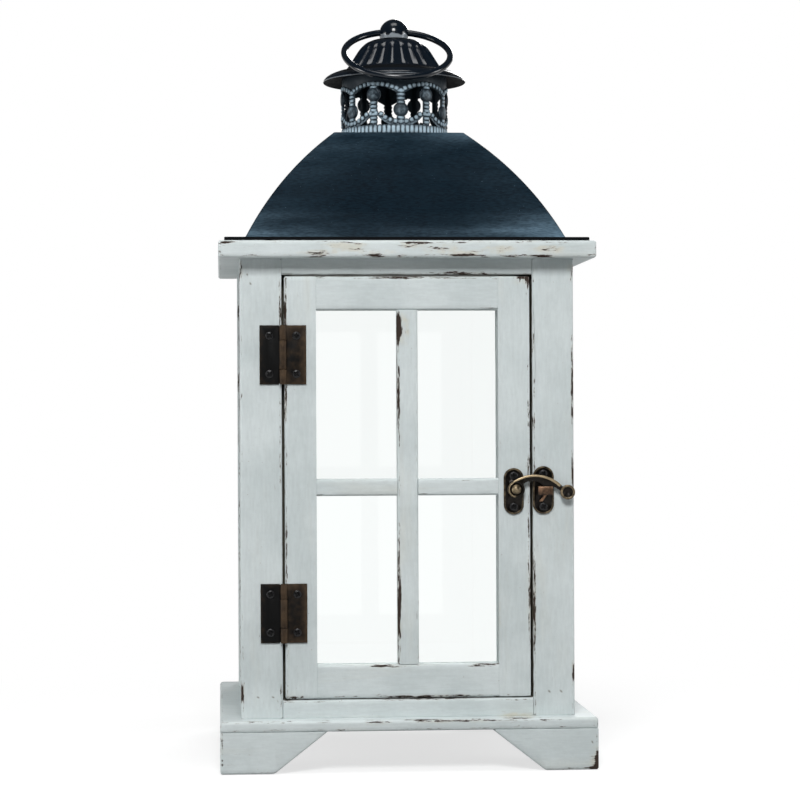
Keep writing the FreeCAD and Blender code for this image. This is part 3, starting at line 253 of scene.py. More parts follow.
def rubAndPaintedLightMaterial(name, dark, light, grain, uneven, metallic, rough, specular, amount=1.0, relief=0.5):
    material, tree, shader, place = newMaterial(name)
    metal = placed(tree, rubAndPaintedLightGroup, {"Place": place, "Grain": grain, "RubAndPaintedLight": attribute(tree, "rubAndPaintedLight"),
                                       "Uneven": uneven, "Amount": amount, "Dark": dark, "Light": light})
    fill(tree, shader.inputs, {"Base Color": metal["Color"], "Metallic": metallic, "Specular IOR Level": specular,
                               "Roughness": span(tree, metal["Rough"], 0.0, 1.0, *rough),
                               "Normal": bump(tree, metal["Height"], 0.00005, relief)})
    return material


def glassMaterial():  # clear panes; light passes them without a shadow
    look = {"tint": (0.985, 1.0, 0.995, 1), "ior": 1.36, "rough": (0.0, 0.02), "passed": (0.95, 0.97, 0.965, 1)}
    material, tree, shader, place = newMaterial("windowGlass")
    fill(tree, shader.inputs, {"Base Color": look["tint"], "Transmission Weight": 1.0, "IOR": look["ior"],
                               "Roughness": span(tree, cloud(tree, place, 30.0), 0.3, 0.7, *look["rough"])})
    path = put(tree, "ShaderNodeLightPath").outputs
    clear = put(tree, "ShaderNodeBsdfTransparent", {"Color": look["passed"]})
    dim = calc(tree, "max", path["Is Shadow Ray"], path["Is Diffuse Ray"])
    mixed = put(tree, "ShaderNodeMixShader", {0: dim, 1: shader.outputs[0], 2: clear.outputs[0]})
    out = next(node for node in tree.nodes if node.type == "OUTPUT_MATERIAL")
    tree.links.new(mixed.outputs[0], out.inputs["Surface"])
    return material


metals = {
    "gallery": {"name": "galleryGrey", "dark": (0.0135, 0.0235, 0.033, 1), "light": (0.43, 0.565, 0.66, 1),
                "grain": 420.0, "uneven": 0.45, "metallic": 0.1, "rough": (0.4, 0.55), "specular": 0.2},
    "enamel": {"name": "blackEnamel", "dark": (0.0028, 0.0062, 0.0112, 1), "light": (0.24, 0.27, 0.30, 1),
               "grain": 260.0, "uneven": 0.16, "metallic": 0.0, "rough": (0.14, 0.2), "specular": 0.4, "relief": 0.0},
    "soot": {"name": "mattUnderside", "dark": (0.0042, 0.0052, 0.0065, 1), "light": (0.02, 0.021, 0.022, 1),
             "grain": 300.0, "uneven": 0.6, "metallic": 0.0, "rough": (0.7, 0.8), "specular": 0.05},
    "bronze": {"name": "darkBronze", "dark": (0.0030, 0.0031, 0.0032, 1), "light": (0.105, 0.068, 0.040, 1),
               "grain": 210.0, "uneven": 0.4, "metallic": 0.2, "rough": (0.5, 0.65), "specular": 0.12, "amount": 0.9},
    "brass": {"name": "antiqueBrass", "dark": (0.0105, 0.0085, 0.0068, 1), "light": (0.40, 0.31, 0.19, 1),
              "grain": 330.0, "uneven": 0.5, "metallic": 0.6, "rough": (0.3, 0.45), "specular": 0.3},
    "copper": {"name": "copperLug", "dark": (0.013, 0.0085, 0.0065, 1), "light": (0.30, 0.175, 0.105, 1),
               "grain": 330.0, "uneven": 0.5, "metallic": 0.6, "rough": (0.3, 0.45), "specular": 0.3},
    "steel": {"name": "blackSteel", "dark": (0.0018, 0.0018, 0.0021, 1), "light": (0.042, 0.042, 0.044, 1),
              "grain": 400.0, "uneven": 0.5, "metallic": 0.3, "rough": (0.3, 0.42), "specular": 0.3, "amount": 0.7},
}
finishes = {"paint" + axis: paintMaterial(axis) for axis in "XYZ"}
finishes["roof"] = roofMaterial()
finishes.update({finish: rubAndPaintedLightMaterial(**look) for finish, look in metals.items()})
finishes["glass"] = glassMaterial()
print("finishes made")


# Mesh helpers.
def resize(shape, factor):
    bmesh.ops.scale(shape, vec=(factor, factor, factor), verts=shape.verts)


def faceOut(shape):
    bmesh.ops.recalc_face_normals(shape, faces=shape.faces)


def copyOf(node):
    shape = bmesh.new()
    shape.from_mesh(cadNodes[node].data)
    resize(shape, metre)
    bmesh.ops.remove_doubles(shape, verts=shape.verts, dist=0.003)
    return shape


def meshFrom(name, shape):
    resize(shape, millimetre)
    mesh = bpy.data.meshes.new(name)
    shape.to_mesh(mesh)
    shape.free()
    return mesh


def shown(name, data):
    thing = bpy.data.objects.new(name, data)
    scene.collection.objects.link(thing)
    return thing


def addPiece(name, shape, finish, body, stands=(), slot=None, sharp=32.0, second=None, secondWhen=None):
    mesh = meshFrom(name, shape) if isinstance(shape, bmesh.types.BMesh) else shape
    mesh.name = name
    mesh.materials.clear()
    mesh.materials.append(finishes[finish])
    if second:
        mesh.materials.append(finishes[second])
        for face in mesh.polygons:
            face.material_index = int(secondWhen(face))
    mesh.polygons.foreach_set("use_smooth", [True] * len(mesh.polygons))
    mesh.set_sharp_from_angle(angle=radians(sharp))
    piece = shown(name, mesh)
    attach(piece, body)
    if stands:
        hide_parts(*stands)
    return piece


def standIn(node, shape, finish, *options, **more):  # a piece that takes a node's place
    return addPiece(node + "_look", shape, finish, bodyOf[node], [node], slotOf[node], *options, **more)


def islandsOf(shape):  # loose parts, in the order of their first faces
    seen, found = set(), []
    for start in shape.faces:
        if start in seen:
            continue
        seen.add(start)
        queue, island = [start], []
        while queue:
            face = queue.pop()
            island.append(face)
            for other in (other for edge in face.edges for other in edge.link_faces):
                if other not in seen:
                    seen.add(other)
                    queue.append(other)
        found.append(island)
    return found


def separate(shape):  # one mesh for each loose part
    parts = []
    for island in islandsOf(shape):
        part, made = bmesh.new(), {}
        for face in island:
            for corner in face.verts:
                if corner not in made:
                    made[corner] = part.verts.new(corner.co)
            part.faces.new([made[corner] for corner in face.verts])
        parts.append(part)
    shape.free()
    return parts


def join(parts):
    whole = bmesh.new()
    for part in parts:
        spare = bpy.data.meshes.new("spare")
        part.to_mesh(spare)
        part.free()
        whole.from_mesh(spare)
        bpy.data.meshes.remove(spare)
    return whole


def boxOf(shape):
    return ([min(vert.co[k] for vert in shape.verts) for k in range(3)],
            [max(vert.co[k] for vert in shape.verts) for k in range(3)])


def softenEdges(shape, radius, segments=2, angle=25.0, pick=None):
    edges = [edge for edge in shape.edges if len(edge.link_faces) == 2 and edge.is_convex
             and edge.calc_face_angle(0) > radians(angle) and (pick is None or pick(edge))]
    if edges:
        bmesh.ops.bevel(shape, geom=edges, offset=radius, offset_type="OFFSET", segments=segments, profile=0.5,
                        affect="EDGES", clamp_overlap=True)


def loopSkin(loops, closed=False, capped=False, layers=()):  # quads between loops of the same number of points
    shape = bmesh.new()
    for name in layers:
        shape.verts.layers.float.new(name)
    rows = [[shape.verts.new(point) for point in loop] for loop in loops]
    pairs = list(zip(rows, rows[1:])) + ([(rows[-1], rows[0])] if closed else [])
    for first, second in pairs:
        for k in range(len(first)):
            after = (k + 1) % len(first)
            shape.faces.new((first[k], first[after], second[after], second[k]))
    if capped:
        shape.faces.new(rows[0])
        shape.faces.new(rows[-1])
    return shape, rows, [shape.verts.layers.float[name] for name in layers]


def closeTip(shape, row, point):  # fan from a loop to one point
    tip = shape.verts.new(point)
    for k in range(len(row)):
        shape.faces.new((row[k], row[(k + 1) % len(row)], tip))
    return tip


def markRows(rows, layer, values):
    for row, value in zip(rows, values):
        for vert in row:
            vert[layer] = value


def unit(angle):
    return Vector((cos(angle), sin(angle)))


def bowThrough(start, end, radius):  # middle of a bow over a chord, and the angles of the chord's ends
    chord = end - start
    out = Vector((chord.y, -chord.x)).normalized()
    centre = (start + end) / 2 - out * sqrt(radius ** 2 - chord.length_squared / 4)
    first, last = (atan2((p - centre).y, (p - centre).x) for p in (start, end))
    return centre, first, last


def roundedSquare(half, corner, perSide, perCorner=3):
    points = []
    for quarter in range(4):
        spin = Matrix.Rotation(quarter * pi / 2, 2)
        flat = half - corner
        for k in range(perSide):
            points.append(spin @ Vector((half, -flat + 2 * flat * k / perSide)))
        for k in range(perCorner):
            a = pi / 2 * k / perCorner
            points.append(spin @ Vector((flat + corner * cos(a), flat + corner * sin(a))))
    return points


# Where the paint is lost most. Level of the face in y and reach in y: x, z, reach in x and z, amount.
wearSpots = {
    (-108, 5): [
        (10, 318, 52, 2.5, 0.75), (-4.4, 285, 3.6, 8, 3.2), (-6.2, 243, 2.2, 26, 1.1), (-6.2, 105, 2.2, 38, 1.45),
        (82, 273.5, 2.5, 5, 1.2), (82, 225, 2.2, 6, 1.0), (81.8, 103, 2, 34, 1.15), (79.2, 104, 2, 32, 1.0),
        (79.2, 200, 2, 60, 0.75), (81.4, 190, 1.6, 90, 0.55), (-79, 300, 2.5, 19, 0.95), (-81.8, 300, 2.2, 18, 0.8),
        (-79.3, 120, 2, 40, 0.6), (10, 46.8, 50, 2.2, 0.95), (-76, 48, 5, 4, 1.1), (-17, 67.5, 9, 2, 1.0),
        (47, 67.5, 12, 2, 0.9), (60, 290, 2, 4, 1.0), (107.4, 252, 2, 30, 1.15), (107.4, 186, 2, 16, 1.3),
        (107.4, 62, 2, 7, 1.5), (58.9, 92, 2, 20, 1.3), (-107, 50, 2, 6, 1.4), (-78.6, 236, 2, 14, 1.1),
        (-78.4, 150, 1.6, 30, 0.7), (106, 322, 4, 8, 1.0), (-106.5, 322, 2.5, 8, 0.9)],
    (-108, 4): [(38, 319.6, 22, 1.6, 1.0)],
    (-108, 6): [(77.5, 315.5, 4.5, 5, 1.3), (68, 34.5, 12, 1.6, 1.0)],
    (-112, 9): [(70, 33.6, 11, 1.2, 2.6)],
    (-121.5, 5): [
        (-61, 329.8, 9, 2.2, 0.95), (-20, 329.8, 9, 2.2, 0.9), (-5, 329.8, 3, 2.2, 0.9), (50, 329.8, 3, 2, 0.9),
        (66, 329.8, 6, 2.4, 0.95), (86, 329.8, 11, 2.6, 0.95), (-116, 339.5, 5, 3, 1.0), (-87, 340, 3, 2, 0.9),
        (6, 340, 7, 2, 0.8), (78, 340, 7, 2, 0.9), (119, 6, 4.5, 8, 2.6), (-120.5, 16, 2, 12, 1.0)],
    (-121.5, 3): [
        (-33.5, 336.3, 9, 2, 3.2), (-20, 333, 10, 1.8, 2.6), (-57, 332.6, 12, 1.8, 2.5), (20, 335, 11, 2.6, 3.0),
        (58, 334.5, 9, 2.4, 3.0), (90, 334.5, 9, 2.4, 3.0), (4, 337.5, 12, 1.8, 2.2), (-45, 337, 10, 2, 2.3),
        (36, 331.6, 14, 1.6, 2.0)],
    (-121.5, 4): [(30, 32.2, 36, 1.7, 1.15), (-22, 31.5, 14, 1.6, 1.0)],
}
wearLook = {"fade": 0.9, "far": 9.0, "broad": 0.021, "broadShare": 0.28, "small": 0.07, "smallShare": 0.16,
            "nickReach": 1.0, "nick": 0.16, "nickDeep": 0.16, "dent": 0.45, "dentDeep": 0.12}


def wearAt(point, rest):
    amount = rest
    for (face, deep), spots in wearSpots.items():
        for x, z, wide, tall, most in spots:
            off = ((point.x - x) / wide) ** 2 + ((point.y - face) / deep) ** 2 + ((point.z - z) / tall) ** 2
            if off < 4:
                amount = max(amount, most * exp(-off * wearLook["fade"]))
    return amount


def markPaint(shape, box, rest, bareAndShadeWhen=lambda co: 0.0, joints=()):  # attributes that the paint reads
    look = wearLook
    edgeLayer, wearLayer, bareAndShadeLayer = (shape.verts.layers.float.new(name) for name in ("edgeGap", "wear", "bareAndShade"))
    low, high = box
    for vert in shape.verts:
        ways = [[look["far"] if (k, -1) in joints else vert.co[k] - low[k],
                 look["far"] if (k, 1) in joints else high[k] - vert.co[k]] for k in range(3)]
        gaps = sorted(min(pair) for pair in ways)
        grain = lambda key: noise.noise(vert.co * look[key])
        patch = grain("broad") * look["broadShare"]
        patch += noise.noise(vert.co * look["small"] + Vector((9, 4, 2))) * look["smallShare"]
        vert[edgeLayer] = max(0.0, min(look["far"], gaps[1]))
        vert[wearLayer] = max(0.0, wearAt(vert.co, rest + patch))
        vert[bareAndShadeLayer] = bareAndShadeWhen(vert.co)
        if gaps[1] < look["nickReach"]:  # hand-worn arrises, only ever inwards
            nick = look["nickDeep"] * (0.5 + 0.5 * grain("nick")) + look["dentDeep"] * max(0.0, grain("dent"))
            for k in range(3):
                if ways[k][0] < look["nickReach"]:
                    vert.co[k] += nick
                elif ways[k][1] < look["nickReach"]:
                    vert.co[k] -= nick


boards = {"arris": 1.25, "jointArris": 0.2, "step": 6.5, "inset": 3.4, "wear": 0.16, "away": 0.25, "pin": 0.75,
          "pinCut": 1.6, "thinArris": 0.16, "lining": 0.9, "liningSide": 79, "liningFront": -106.6, "liningReach": 0.3,
          "liningFade": 0.6, "liningWave": 0.13, "stopShadedFront": -93.0}
pinHoles = {"post_front_left": [(-97, 47.3), (-87.4, 47.3), (-102.9, 319.3), (-101, 313.5)],
            "post_front_right": [(91.3, 49.2), (99, 49.2)],
            "foot_front_right": [(117.4, 17.7)]}  # x, z of nails set below the paint
jointFaces = {  # faces that meet another board: a small letter for the low side of an axis, a capital for the high
    "post_": "zZ", "front_head_rail": "xXZ", "front_sill": "xXz", "door_rail": "xX", "door_stile_left": "X",
    "door_stile_right": "x", "door_upright_bar": "zZ", "door_cross_bar": "xX", "left_bottom": "yYz",
    "left_top": "yYZ", "right_bottom": "yYz", "right_top": "yYZ", "rear_bottom": "xXz", "rear_top": "xXZ",
    "left_upright": "zZ", "right_upright": "zZ", "left_cross": "yY", "right_cross": "yY", "foot_": "Z",
}
# The lining faces are coloured as bare wood and as painted shade of the gap.
gapSides = {  # faces that line the dark gap round the door: axis, level
    "post_front_left": (0, -81.0), "post_front_right": (0, 81.0), "door_stile_left": (0, -79.5),
    "door_stile_right": (0, 79.5), "front_sill": (2, 45.4), "front_head_rail": (2, 319.2),
    "door_rail_top": (2, 318.2), "door_rail_bottom": (2, 46.1),
}


def board(node):
    look = boards
    shape = copyOf(node)
    if node in ("post_front_left", "post_front_right", "door_stile_left", "door_stile_right"):
        slanted = [face for face in shape.faces if max(abs(value) for value in face.normal) < 0.999]
        bmesh.ops.delete(shape, geom=slanted, context="FACES")  # screw bores, hidden under the heads
        parts = sorted(islandsOf(shape), key=lambda island: sum(face.calc_area() for face in island))
        bmesh.ops.delete(shape, geom=[face for island in parts[:-1] for face in island], context="FACES")
        bmesh.ops.holes_fill(shape, edges=[edge for edge in shape.edges if edge.is_boundary], sides=0)
    letters = next((letters for start, letters in jointFaces.items() if node.startswith(start)), "")
    joints = [("xyz".index(letter.lower()), 1 if letter.isupper() else -1) for letter in letters]
    gap, pins = gapSides.get(node), pinHoles.get(node, [])
    lining = look["lining"] if gap and gap[1] > look["liningSide"] else 0.0  # bare wood and painted shade reach onto the face at latch and head
    done, longest = [], 0
    for part in separate(shape):
        bmesh.ops.dissolve_limit(part, angle_limit=0.01, verts=part.verts, edges=part.edges)
        low, high = boxOf(part)
        sizes = [high[k] - low[k] for k in range(3)]
        longest = sizes.index(max(sizes))

        def onJoint(edge):
            middle = (edge.verts[0].co + edge.verts[1].co) / 2
            return any(abs(middle[axis] - (low if side < 0 else high)[axis]) < 0.02 for axis, side in joints)

        def bareAndShadeWhen(co):
            share = 0.0
            # painted shade: the stop's front, seen through the gap, is coloured dark
            if node.endswith("_stop"):
                share = float(co[1] < look["stopShadedFront"])
            # the gap's lining: bare wood with painted shade
            elif gap and abs(co[gap[0]] - gap[1]) < look["liningReach"] + lining:
                ragged = lining * (0.7 + noise.noise(co * look["liningWave"]))
                share = min(1.0, max(0.0, (co[1] - look["liningFront"] + ragged) / look["liningFade"]))
            pinned = co[1] < low[1] + 0.01 and any(hypot(co[0] - x, co[2] - z) < look["pin"] * 0.5 for x, z in pins)
            return max(share, float(pinned))

        arris = min(look["arris"], min(sizes) * look["thinArris"])
        softenEdges(part, arris, 3, pick=lambda edge: not onJoint(edge))
        softenEdges(part, look["jointArris"], 1, 50.0, pick=onJoint)
        cuts = [(k, level) for k in range(3) for level in (low[k] + look["inset"], high[k] - look["inset"])
                if sizes[k] > 3 * look["inset"]]
        for spot in pins:
            cuts += [(axis, level + side * look["pinCut"] * look["pin"]) for axis, level in zip((0, 2), spot)
                     for side in (-1, 0, 1)]
        count = int(sizes[longest] / look["step"])
        cuts += [(longest, low[longest] + sizes[longest] * k / count) for k in range(1, count)]
        for axis, level in cuts:
            normal = Vector([float(k == axis) for k in range(3)])
            bmesh.ops.bisect_plane(part, geom=part.verts[:] + part.edges[:] + part.faces[:], dist=0.0005,
                                   plane_co=normal * level, plane_no=normal)
        away = node.startswith(("left_", "right_", "rear_", "post_rear", "foot_rear"))
        markPaint(part, (low, high), look["wear"] + (look["away"] if away else 0.0), bareAndShadeWhen, joints)
        done.append(part)
    return standIn(node, join(done), "paint" + "XYZ"[longest])


for node in [name for name in cadNodes if slotOf[name] == "white_paint" and name not in ("cap_board", "base_board")]:
    board(node)
print("boards made")


def slab(node, look):  # square board as a stack of loops, with or without a round vent
    low, high = (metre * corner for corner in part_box(node))
    half, foot, top = high[0], low[2], high[2]
    rim, under = look["roundTop"], look["roundFoot"]
    square = lambda inset: roundedSquare(half - inset, max(0.4, look["corner"] - inset * 0.5), look["perSide"])
    lift = lambda points, level: [(p.x, p.y, level) for p in points]
    squares = lambda insets, level: [lift(square(inset), level) for inset in insets]
    angles = [atan2(p.y, p.x) for p in square(0)]
    vent = [Vector((look["hole"] * cos(a), look["hole"] * sin(a))) for a in angles]
    quarter = [pi / 2 * k / 4 for k in range(5)]
    loops = [lift(vent, foot)] + squares((half * 0.3, 9, 4), foot)
    loops += [lift(square(under * (1 - sin(a))), foot + under * (1 - cos(a))) for a in quarter]
    loops += [lift(square(0), level) for level in (foot + 3.0, (foot + top) / 2, top - max(3.0, rim + 0.4))]
    loops += [lift(square(rim * (1 - cos(a))), top - rim * (1 - sin(a))) for a in quarter]
    loops += squares((4.5, 12, half * 0.3), top) + [lift(vent, top)]
    shape, rows, layers = loopSkin(loops, closed=look["open"], capped=not look["open"])
    faceOut(shape)
    markPaint(shape, (list(low), list(high)), look["wear"])
    return standIn(node, shape, "paintX", sharp=40)


slab("cap_board", {"corner": 2.2, "perSide": 42, "hole": 55, "open": True, "roundTop": 1.4, "roundFoot": 1.2,
                   "wear": 0.27})
slab("base_board", {"corner": 2.2, "perSide": 42, "hole": 30, "open": False, "roundTop": 2.0, "roundFoot": 1.0,
                    "wear": 0.22})
print("cap and base made")


def roof():
    look = {"flange": 117.6, "sheet": 2.4, "foot": 340.5, "hoodFoot": 105.5, "hoodTop": 43.5, "top": 418.5,
            "bow": 228, "skin": 1.2, "flare": 4.6, "bowLong": 92, "vent": 31.8, "hip": 1.4, "steps": 26,
            "perSide": 24, "end": 0.985, "hipGlow": 22, "bendWearAndHighlight": (0.8, 0.3, 0.1, 0.05)}
    flange, foot, top, flare = (look[key] for key in ("flange", "foot", "top", "flare"))
    rim, ledge, ceiling = foot + look["sheet"], foot + 1.0, top - look["skin"]
    centre, first, last = bowThrough(Vector((look["hoodFoot"], foot)), Vector((look["hoodTop"], top)), look["bow"])
    onBow = lambda share, offset=0.0: centre + unit(first + (last - first) * share) * (look["bow"] - offset)
    outline = lambda half: roundedSquare(half, look["hip"], look["perSide"], 4)
    square = lambda half, level: [(p.x, p.y, level) for p in outline(half)]
    ventAt = lambda level: [(look["vent"] * cos(a), look["vent"] * sin(a), level)
                            for a in (atan2(p.y, p.x) for p in outline(50))]
    profile = [(flange - 0.3, foot), (flange, foot + 0.35), (flange, rim - 0.35), (flange - 0.35, rim),
               (flange - 1.6, rim), (flange - 2.0, ledge)]
    hem = len(profile)
    rubAndPaintedLight = [0.0] * hem
    begun = flare / look["bowLong"]
    bend = onBow(begun)
    corner = Vector((onBow(0.01).x + 0.3, ledge))
    begin = Vector((corner.x + flare * 0.8, ledge))
    for a in (k / 6 for k in range(7)):  # flare from the flange into the hood
        p = (1 - a) ** 2 * begin + 2 * a * (1 - a) * corner + a * a * bend
        profile.append((p.x, p.y))
        # painted highlight with worn patina on the flare
        rubAndPaintedLight.append(0.4 + 0.6 * a)
    for k in range(1, look["steps"]):
        share = begun + (look["end"] - begun) * k / (look["steps"] - 1)
        p = onBow(share)
        profile.append((p.x, p.y))
        # painted highlight with worn patina: strongest at the bend, fading upwards, paler again near the top edge
        upper = max(0.0, share - 0.45) * 0.42 + max(0.0, share - 0.9) * 3
        rubAndPaintedLight.append(look["bendWearAndHighlight"][k - 1] if k < 5 else upper)
    edge = onBow(look["end"])
    profile += [(edge.x - 0.9, top - 0.12), (edge.x - 1.6, top)]
    rubAndPaintedLight += [0.4, 0.2]
    loops = [square(*p) for p in profile] + [ventAt(top), ventAt(ceiling)]
    inner = [onBow(0.96 - 0.95 * k / 14, look["skin"]) for k in range(15)]
    loops += [square(p.x, min(p.y, ceiling)) for p in inner]
    loops.append(square(onBow(0.0, look["skin"]).x, foot))
    shape, rows, (rubLayer, hemAndHipDarkLayer) = loopSkin(loops, closed=True, layers=("rubAndPaintedLight", "bareAndShade"))
    # painted shade: the flange rows are darkened
    markRows(rows, hemAndHipDarkLayer, [1.0] * hem)
    for row, value in zip(rows, rubAndPaintedLight):
        for vert in row:
            sides = abs(vert.co.x), abs(vert.co.y)
            across = min(sides) / max(sides)  # 1 at a hip
            level = max(0.0, 1 - (vert.co.z - foot) / look["hipGlow"])
            # painted highlight with worn patina, stronger towards the hips and at the foot of each hip
            glow = value * (0.3 + 0.7 * across) + 0.95 * level * max(0.0, across - 0.35) / 0.65
            vert[rubLayer] = min(1.0, glow + 0.12 * max(0.0, across - 0.4))
            vert[hemAndHipDarkLayer] = max(vert[hemAndHipDarkLayer], 0.75 if across > 0.995 else 0.0)  # darker strip along each hip
    faceOut(shape)
    return standIn("roof_shell", shape, "roof", sharp=28)


roof()
print("roof made")


# Geometry Nodes: one tree turns a shape round the upright axis, one sets shapes on points, one along a path.
def newTree(name, inputs):
    tree = bpy.data.node_groups.new(name, "GeometryNodeTree")
    ids = {}
    for label, kind in [("Geometry", "Geometry"), ("Source", "Object")] + inputs + [("Finish", "Material")]:
        ids[label] = tree.interface.new_socket(label, in_out="INPUT", socket_type="NodeSocket" + kind).identifier
    tree.interface.new_socket("Geometry", in_out="OUTPUT", socket_type="NodeSocketGeometry")
    return tree, ids, put(tree, "NodeGroupInput").outputs, put(tree, "NodeGroupOutput").inputs


def closeTree(tree, given, result, points, rotation):  # sets the source on the points
    source = put(tree, "GeometryNodeObjectInfo", {"Object": given["Source"]}).outputs["Geometry"]
    made = put(tree, "GeometryNodeInstanceOnPoints", {"Points": points, "Instance": source, "Rotation": rotation})
    real = put(tree, "GeometryNodeRealizeInstances", {"Geometry": made.outputs[0]})
    dressed = put(tree, "GeometryNodeSetMaterial", {"Geometry": real.outputs[0], "Material": given["Finish"]})
    tree.links.new(dressed.outputs[0], result["Geometry"])


def ringTree():
    tree, ids, given, result = newTree("turnedCopies", [("Count", "Int"), ("Start", "Float")])
    points = put(tree, "GeometryNodePoints", {"Count": given["Count"]}).outputs[0]
    step = calc(tree, "/", turn, given["Count"])
    angle = calc(tree, "*+", put(tree, "GeometryNodeInputIndex").outputs[0], step, given["Start"])
    closeTree(tree, given, result, points, put(tree, "ShaderNodeCombineXYZ", {"Z": angle}).outputs[0])
    return tree, ids


def seatTree():
    tree, ids, given, result = newTree("headsOnSeats", [("Axis", "Vector"), ("Seed", "Int")])
    points = put(tree, "GeometryNodeMeshToPoints", {"Mesh": given["Geometry"]}).outputs[0]
    chance = put(tree, "FunctionNodeRandomValue", {"Min": -pi, "Max": pi, "Seed": given["Seed"]},
                 data_type="FLOAT").outputs[1]
    spin = put(tree, "ShaderNodeVectorMath", {0: given["Axis"], "Scale": chance}, operation="SCALE").outputs[0]
    closeTree(tree, given, result, points, spin)
    return tree, ids


def pathTree():
    tree, ids, given, result = newTree("beadsOnPath", [("Path", "Object"), ("Count", "Int")])
    path = put(tree, "GeometryNodeObjectInfo", {"Object": given["Path"]}).outputs["Geometry"]
    points = put(tree, "GeometryNodeResampleCurve", {"Curve": path, "Count": given["Count"]}).outputs[0]
    away = stretched(tree, put(tree, "GeometryNodeInputPosition").outputs[0], (-1, -1, 0))
    along = put(tree, "GeometryNodeInputTangent").outputs[0]
    aim = put(tree, "FunctionNodeAxesToRotation", {0: away, 1: along}, primary_axis="Y", secondary_axis="X")
    closeTree(tree, given, result, points, aim.outputs[0])
    return tree, ids


ringGroup, seatGroup, pathGroup = ringTree(), seatTree(), pathTree()


def spareObject(name, shape):
    return shown(name, meshFrom(name, shape))


def evaluated(thing):
    bpy.context.view_layer.update()
    return bpy.data.meshes.new_from_object(thing.evaluated_get(bpy.context.evaluated_depsgraph_get()))


def grown(group, finish, values, points=()):  # runs a tree and gives its result as a plain mesh
    tree, ids = group
    seed = bpy.data.meshes.new("seats")
    seed.from_pydata([Vector(point) * millimetre for point in points], [], [])
    host = shown("host", seed)
    modifier = host.modifiers.new("grow", "NODES")
    modifier.node_group = tree
    for label, value in dict(values, Finish=finishes[finish]).items():
        modifier[ids[label]] = value
    mesh = evaluated(host)
    host.modifiers.remove(modifier)
    for thing in [host] + [value for value in values.values() if isinstance(value, bpy.types.Object)]:
        bpy.data.objects.remove(thing)
    return mesh


def mergeMeshes(meshes):
    whole = bmesh.new()
    for mesh in meshes:
        whole.from_mesh(mesh)
        bpy.data.meshes.remove(mesh)
    resize(whole, metre)
    return whole


def mound(wide, long, proud, rings, around, rubAndPaintedLight=1.0, power=0.5, boxy=2.0):  # pillow with its flat side on y = 0
    loops = []
    slopes = [pi / 2 * k / rings for k in range(rings)]
    for a in slopes:
        loop = []
        for b in (turn * j / around for j in range(around)):
            x, z = (copysign(abs(value) ** (2 / boxy), value) for value in (cos(b), sin(b)))
            loop.append((wide / 2 * cos(a) * x, -proud * sin(a) ** (power * 2), long / 2 * cos(a) * z))
        loops.append(loop)
    shape, rows, (layer,) = loopSkin(loops, layers=["rubAndPaintedLight"])
    markRows(rows, layer, [rubAndPaintedLight * sin(a) ** 1.5 for a in slopes])
    closeTip(shape, rows[-1], (0, -proud, 0))[layer] = rubAndPaintedLight
    shape.faces.new(list(reversed(rows[0])))
    faceOut(shape)
    return shape


def moved(shape, y, z):
    bmesh.ops.translate(shape, vec=(0, y, z), verts=shape.verts)
    return shape


